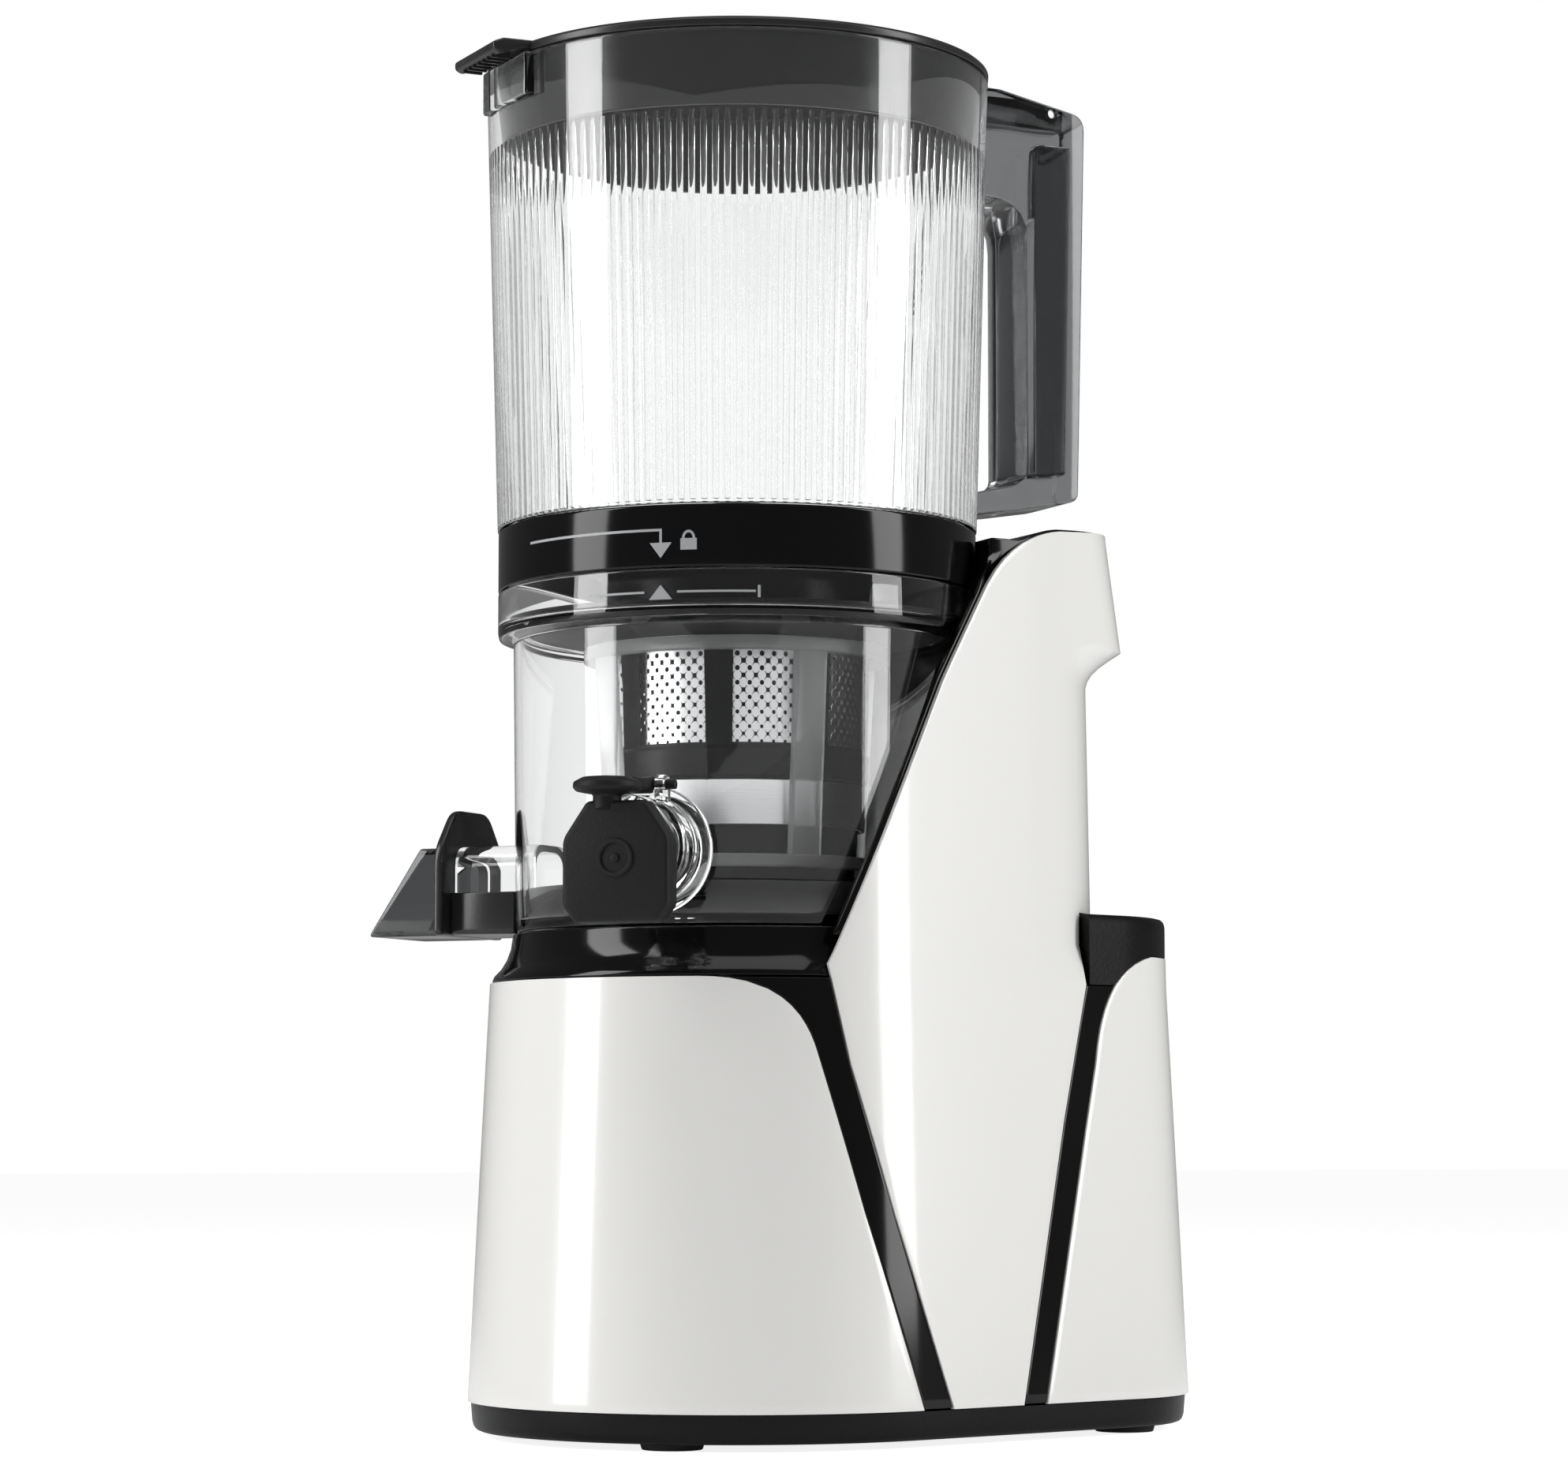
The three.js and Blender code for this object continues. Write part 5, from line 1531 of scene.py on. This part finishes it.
class JUICER_OT_lid(bpy.types.Operator):
    """Lid with its skirt, front tab and hinge arm"""

    bl_idname = "juicer.lid"
    bl_label = "Lid"

    def execute(self, context):
        rim, top = HOPPER_TOP + 0.4, HOPPER_TOP + 3.5
        cover = turned("cover", [
            (0, rim - 0.6), (75.4, rim - 0.6, 2), (74, 418, 0.4), (76.2, 418, 0.5), (78.6, rim, 0.5),
            (82.6, rim, 0.5), (82.8, top - 1, 0.6), (81.6, top, 0.8), (68, top, 2), (64, top - 1.4, 2),
            (0, top - 1.4),
        ], 192, close=False)
        tab = side_plate("tab", [
            (-70, rim), (-84.4, rim, 1), (-87.6, 440.8, 3), (-91.4, 439.8, 2), (-93.5, 440.8, 1.5),
            (-93.7, 443.4, 1.5), (-90, top - 0.1, 3), (-70, top),
        ], 17, 0.7)
        ribs = [brick("rib", (x - 0.5, x + 0.5), (-92.4, -86), (439.2, 441.5)) for x in range(-12, 13, 4)]
        y, z = LID_HINGE
        barrel = rod("barrel", 3.5, (-7, y, z), (7, y, z), 40, 0.4)
        barrel = cut(barrel, rod("hole", 1.55, (-20, y, z), (20, y, z), 32))
        arm = side_plate("arm", [
            (72, rim + 0.2), (72, top), (y - 1, top, 2), (y + 2.6, rim + 0.9, 0.6), (y + 2, rim + 0.2),
        ], 7, 0.4)
        obj = merged("hopper_lid", cover, tab, *ribs, barrel, arm)
        dress(obj, "lid", "dark_grey", lid_grey(), "lid")
        return {"FINISHED"}


class JUICER_OT_dial(bpy.types.Operator):
    """Power dial and the cord inlet"""

    bl_idname = "juicer.dial"
    bl_label = "Dial and inlet"

    def execute(self, context):
        low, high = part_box("power_dial")
        z = (low[2] + high[2]) / 2 / MM
        knob = turned("knob", [
            (0, 66), (4, 66), (4, 84.6), (17.4, 84.6, 0.6), (18, 93, 2.4), (15.5, 94.6, 1), (0, 94.9),
        ], 96, lambda a, r, h: r + (0.22 * math.cos(48 * a) if 16 < r and h < 92 else 0.0), close=False)
        mark = brick("mark", (93, 96.2), (-1.4, 1.4), (2, 14))
        knob = lay_along_x(knob, z)
        mark = bevelled(mark, 0.5, 3, 50)
        mark.data.transform(Matrix.Translation((0, 0, z * MM)))
        dial = aimed(merged("mode_dial", knob, mark), DIAL_ANGLE)
        dress(dial, "dial", "dark_grey", lid_grey(), "power_dial")
        low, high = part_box("cord_inlet")
        z = (low[2] + high[2]) / 2 / MM
        gland = turned("cord_gland", [
            (3.6, 150), (6.6, 150), (6.6, 159.4), (9, 159.4, 0.5), (8.2, 163, 1), (3.6, 163, 0.8),
        ], 64)
        dress(aimed(lay_along_x(gland, z), math.pi / 2), "base", "rubber", foot_rubber(), "cord_inlet")
        return {"FINISHED"}


class JUICER_OT_inner_works(bpy.types.Operator):
    """Finishes for the motor, gears and electrics that stay as they are"""

    bl_idname = "juicer.inner_works"
    bl_label = "Inner works"

    def execute(self, context):
        nylon = plastic("gear_nylon", (0.78, 0.74, 0.6), (0.7, 0.66, 0.52), 0.4, 0.1, 0.3, 800.0)
        board = plastic("circuit_board", (0.02, 0.12, 0.05), (0.03, 0.18, 0.08), 0.3, 0.2, 0.6, 400.0)
        finishes = {
            "steel": brushed_steel(), "rubber": foot_rubber(), "black_satin": black_satin(),
            "gear_nylon": nylon, "board_green": board, "dark_grey": lid_grey(), "soft_grey": soft_grey(),
        }
        slots = {part["node"]: part["material_slot"] for part in frame["record"]["subparts"]}
        for name, obj in frame["nodes"].items():
            if slots[name] in finishes:
                obj.data.materials.clear()
                obj.data.materials.append(finishes[slots[name]])
        return {"FINISHED"}


class JUICER_OT_stage(bpy.types.Operator):
    """Pale floor, soft light and the camera"""

    bl_idname = "juicer.stage"
    bl_label = "Stage"

    DISTANCE = 1.48  # from the bowl axis to the camera, in metres
    AZIMUTH = 65.0  # turn of the camera round the bowl axis, in degrees from the front
    EYE = 0.094  # height of the camera
    AIM_HEIGHT = 0.2248
    AIM_SIDE = 0.0153
    LENS = 104.58
    LAMP_DISTANCE = 1.5
    LAMPS = (  # name, azimuth, elevation, size, watts
        ("left", -8, 18, (0.5, 1.5), 17), ("right", 140, 22, (0.45, 1.5), 14), ("top", 65, 80, (1.4, 1.0), 8),
    )

    def camera(self, scene):
        """A camera that stands low beside the machine and looks slightly up at it."""
        turn = math.radians(self.AZIMUTH)
        back = Vector((math.sin(turn), -math.cos(turn), 0))
        right = Vector((math.cos(turn), math.sin(turn), 0))
        ground = Vector((AXIS.x, AXIS.y, 0))
        eye = ground + back * self.DISTANCE + Vector((0, 0, self.EYE))
        aim = ground + right * self.AIM_SIDE + Vector((0, 0, self.AIM_HEIGHT))
        data = bpy.data.cameras.new("camera")
        data.lens = self.LENS
        data.sensor_width = 36.0
        obj = linked("camera", data)
        obj.location = eye
        obj.rotation_euler = (aim - eye).to_track_quat("-Z", "Y").to_euler()
        scene.camera = obj

    def studio(self):
        """White behind the machine, and a dimmer room for it to reflect."""
        world = bpy.data.worlds.new("studio")
        world.use_nodes = True
        nodes = world.node_tree.nodes
        path = nodes.new("ShaderNodeLightPath")
        seen = maths(nodes, "MAXIMUM")
        join(path, "Is Camera Ray", seen, 0)
        join(path, "Is Transmission Ray", seen, 1)
        level = nodes.new("ShaderNodeMapRange")
        level.inputs["To Min"].default_value = 0.12
        level.inputs["To Max"].default_value = 1.0
        join(seen, 0, level, "Value")
        join(level, "Result", nodes["Background"], "Strength")
        nodes["Background"].inputs["Color"].default_value = (1, 1, 1, 1)
        return world

    def lamp(self, name, azimuth, elevation, size, power):
        """A soft panel that faces the middle of the machine; azimuth is counted as the camera's is."""
        turn, rise = math.radians(azimuth), math.radians(elevation)
        away = Vector((math.sin(turn) * math.cos(rise), -math.cos(turn) * math.cos(rise), math.sin(rise)))
        data = bpy.data.lights.new(name, "AREA")
        data.shape = "RECTANGLE"
        data.size, data.size_y = size
        data.energy = power
        obj = linked(name, data)
        obj.location = Vector((AXIS.x, AXIS.y, 0.22)) + away * self.LAMP_DISTANCE
        obj.rotation_euler = (-away).to_track_quat("-Z", "Y").to_euler()

    def execute(self, context):
        scene = context.scene
        scene.view_settings.view_transform = "Standard"
        self.camera(scene)
        scene.world = self.studio()
        for lamp in self.LAMPS:
            self.lamp(*lamp)
        floor = bpy.data.meshes.new("floor")
        half = 12.0
        corners = [(-half, -half, 0), (half, -half, 0), (half, half, 0), (-half, half, 0)]
        floor.from_pydata(corners, [], [(0, 1, 2, 3)])
        obj = linked("floor", floor)
        paper = plastic("studio_paper", (0.95, 0.95, 0.95), (0.93, 0.93, 0.93), 0.8, 0.1, 0.1, 40.0)
        nodes = paper.node_tree.nodes
        shader = nodes["Principled BSDF"]
        shader.inputs["Emission Color"].default_value = (1, 1, 1, 1)
        path = nodes.new("ShaderNodeLightPath")
        glow = nodes.new("ShaderNodeMapRange")
        glow.inputs["To Min"].default_value = 0.1
        glow.inputs["To Max"].default_value = 0.85
        join(path, "Is Camera Ray", glow, "Value")
        join(glow, "Result", shader, "Emission Strength")
        floor.materials.append(paper)
        return {"FINISHED"}


OPERATORS = (
    JUICER_OT_covers, JUICER_OT_mouldings, JUICER_OT_feet, JUICER_OT_bowl, JUICER_OT_strainer,
    JUICER_OT_brush, JUICER_OT_screw, JUICER_OT_juice_cap, JUICER_OT_pulp_spout, JUICER_OT_hopper,
    JUICER_OT_lock_ring, JUICER_OT_handle, JUICER_OT_lid, JUICER_OT_dial, JUICER_OT_inner_works,
    JUICER_OT_stage,
)


class JUICER_PT_panel(bpy.types.Panel):
    """Settings and one button for each group of pieces"""

    bl_idname = "JUICER_PT_panel"
    bl_label = "Slow juicer"
    bl_space_type = "VIEW_3D"
    bl_region_type = "UI"
    bl_category = "Juicer"

    def draw(self, context):
        layout = self.layout
        for settings in (context.scene.juicer_colours, context.scene.juicer_sizes):
            for name in settings.__annotations__:
                layout.prop(settings, name)
        for operator in OPERATORS:
            layout.operator(operator.bl_idname)


CLASSES = (JuicerColours, JuicerSizes, *OPERATORS, JUICER_PT_panel)


def register():
    for cls in CLASSES:
        bpy.utils.register_class(cls)
    bpy.types.Scene.juicer_colours = bpy.props.PointerProperty(type=JuicerColours)
    bpy.types.Scene.juicer_sizes = bpy.props.PointerProperty(type=JuicerSizes)


def unregister():
    del bpy.types.Scene.juicer_sizes
    del bpy.types.Scene.juicer_colours
    for cls in reversed(CLASSES):
        bpy.utils.unregister_class(cls)


def main():
    register()
    for operator in OPERATORS:
        name = operator.bl_idname.split(".")[1]
        getattr(bpy.ops.juicer, name)()


if __name__ == "__main__":
    main()
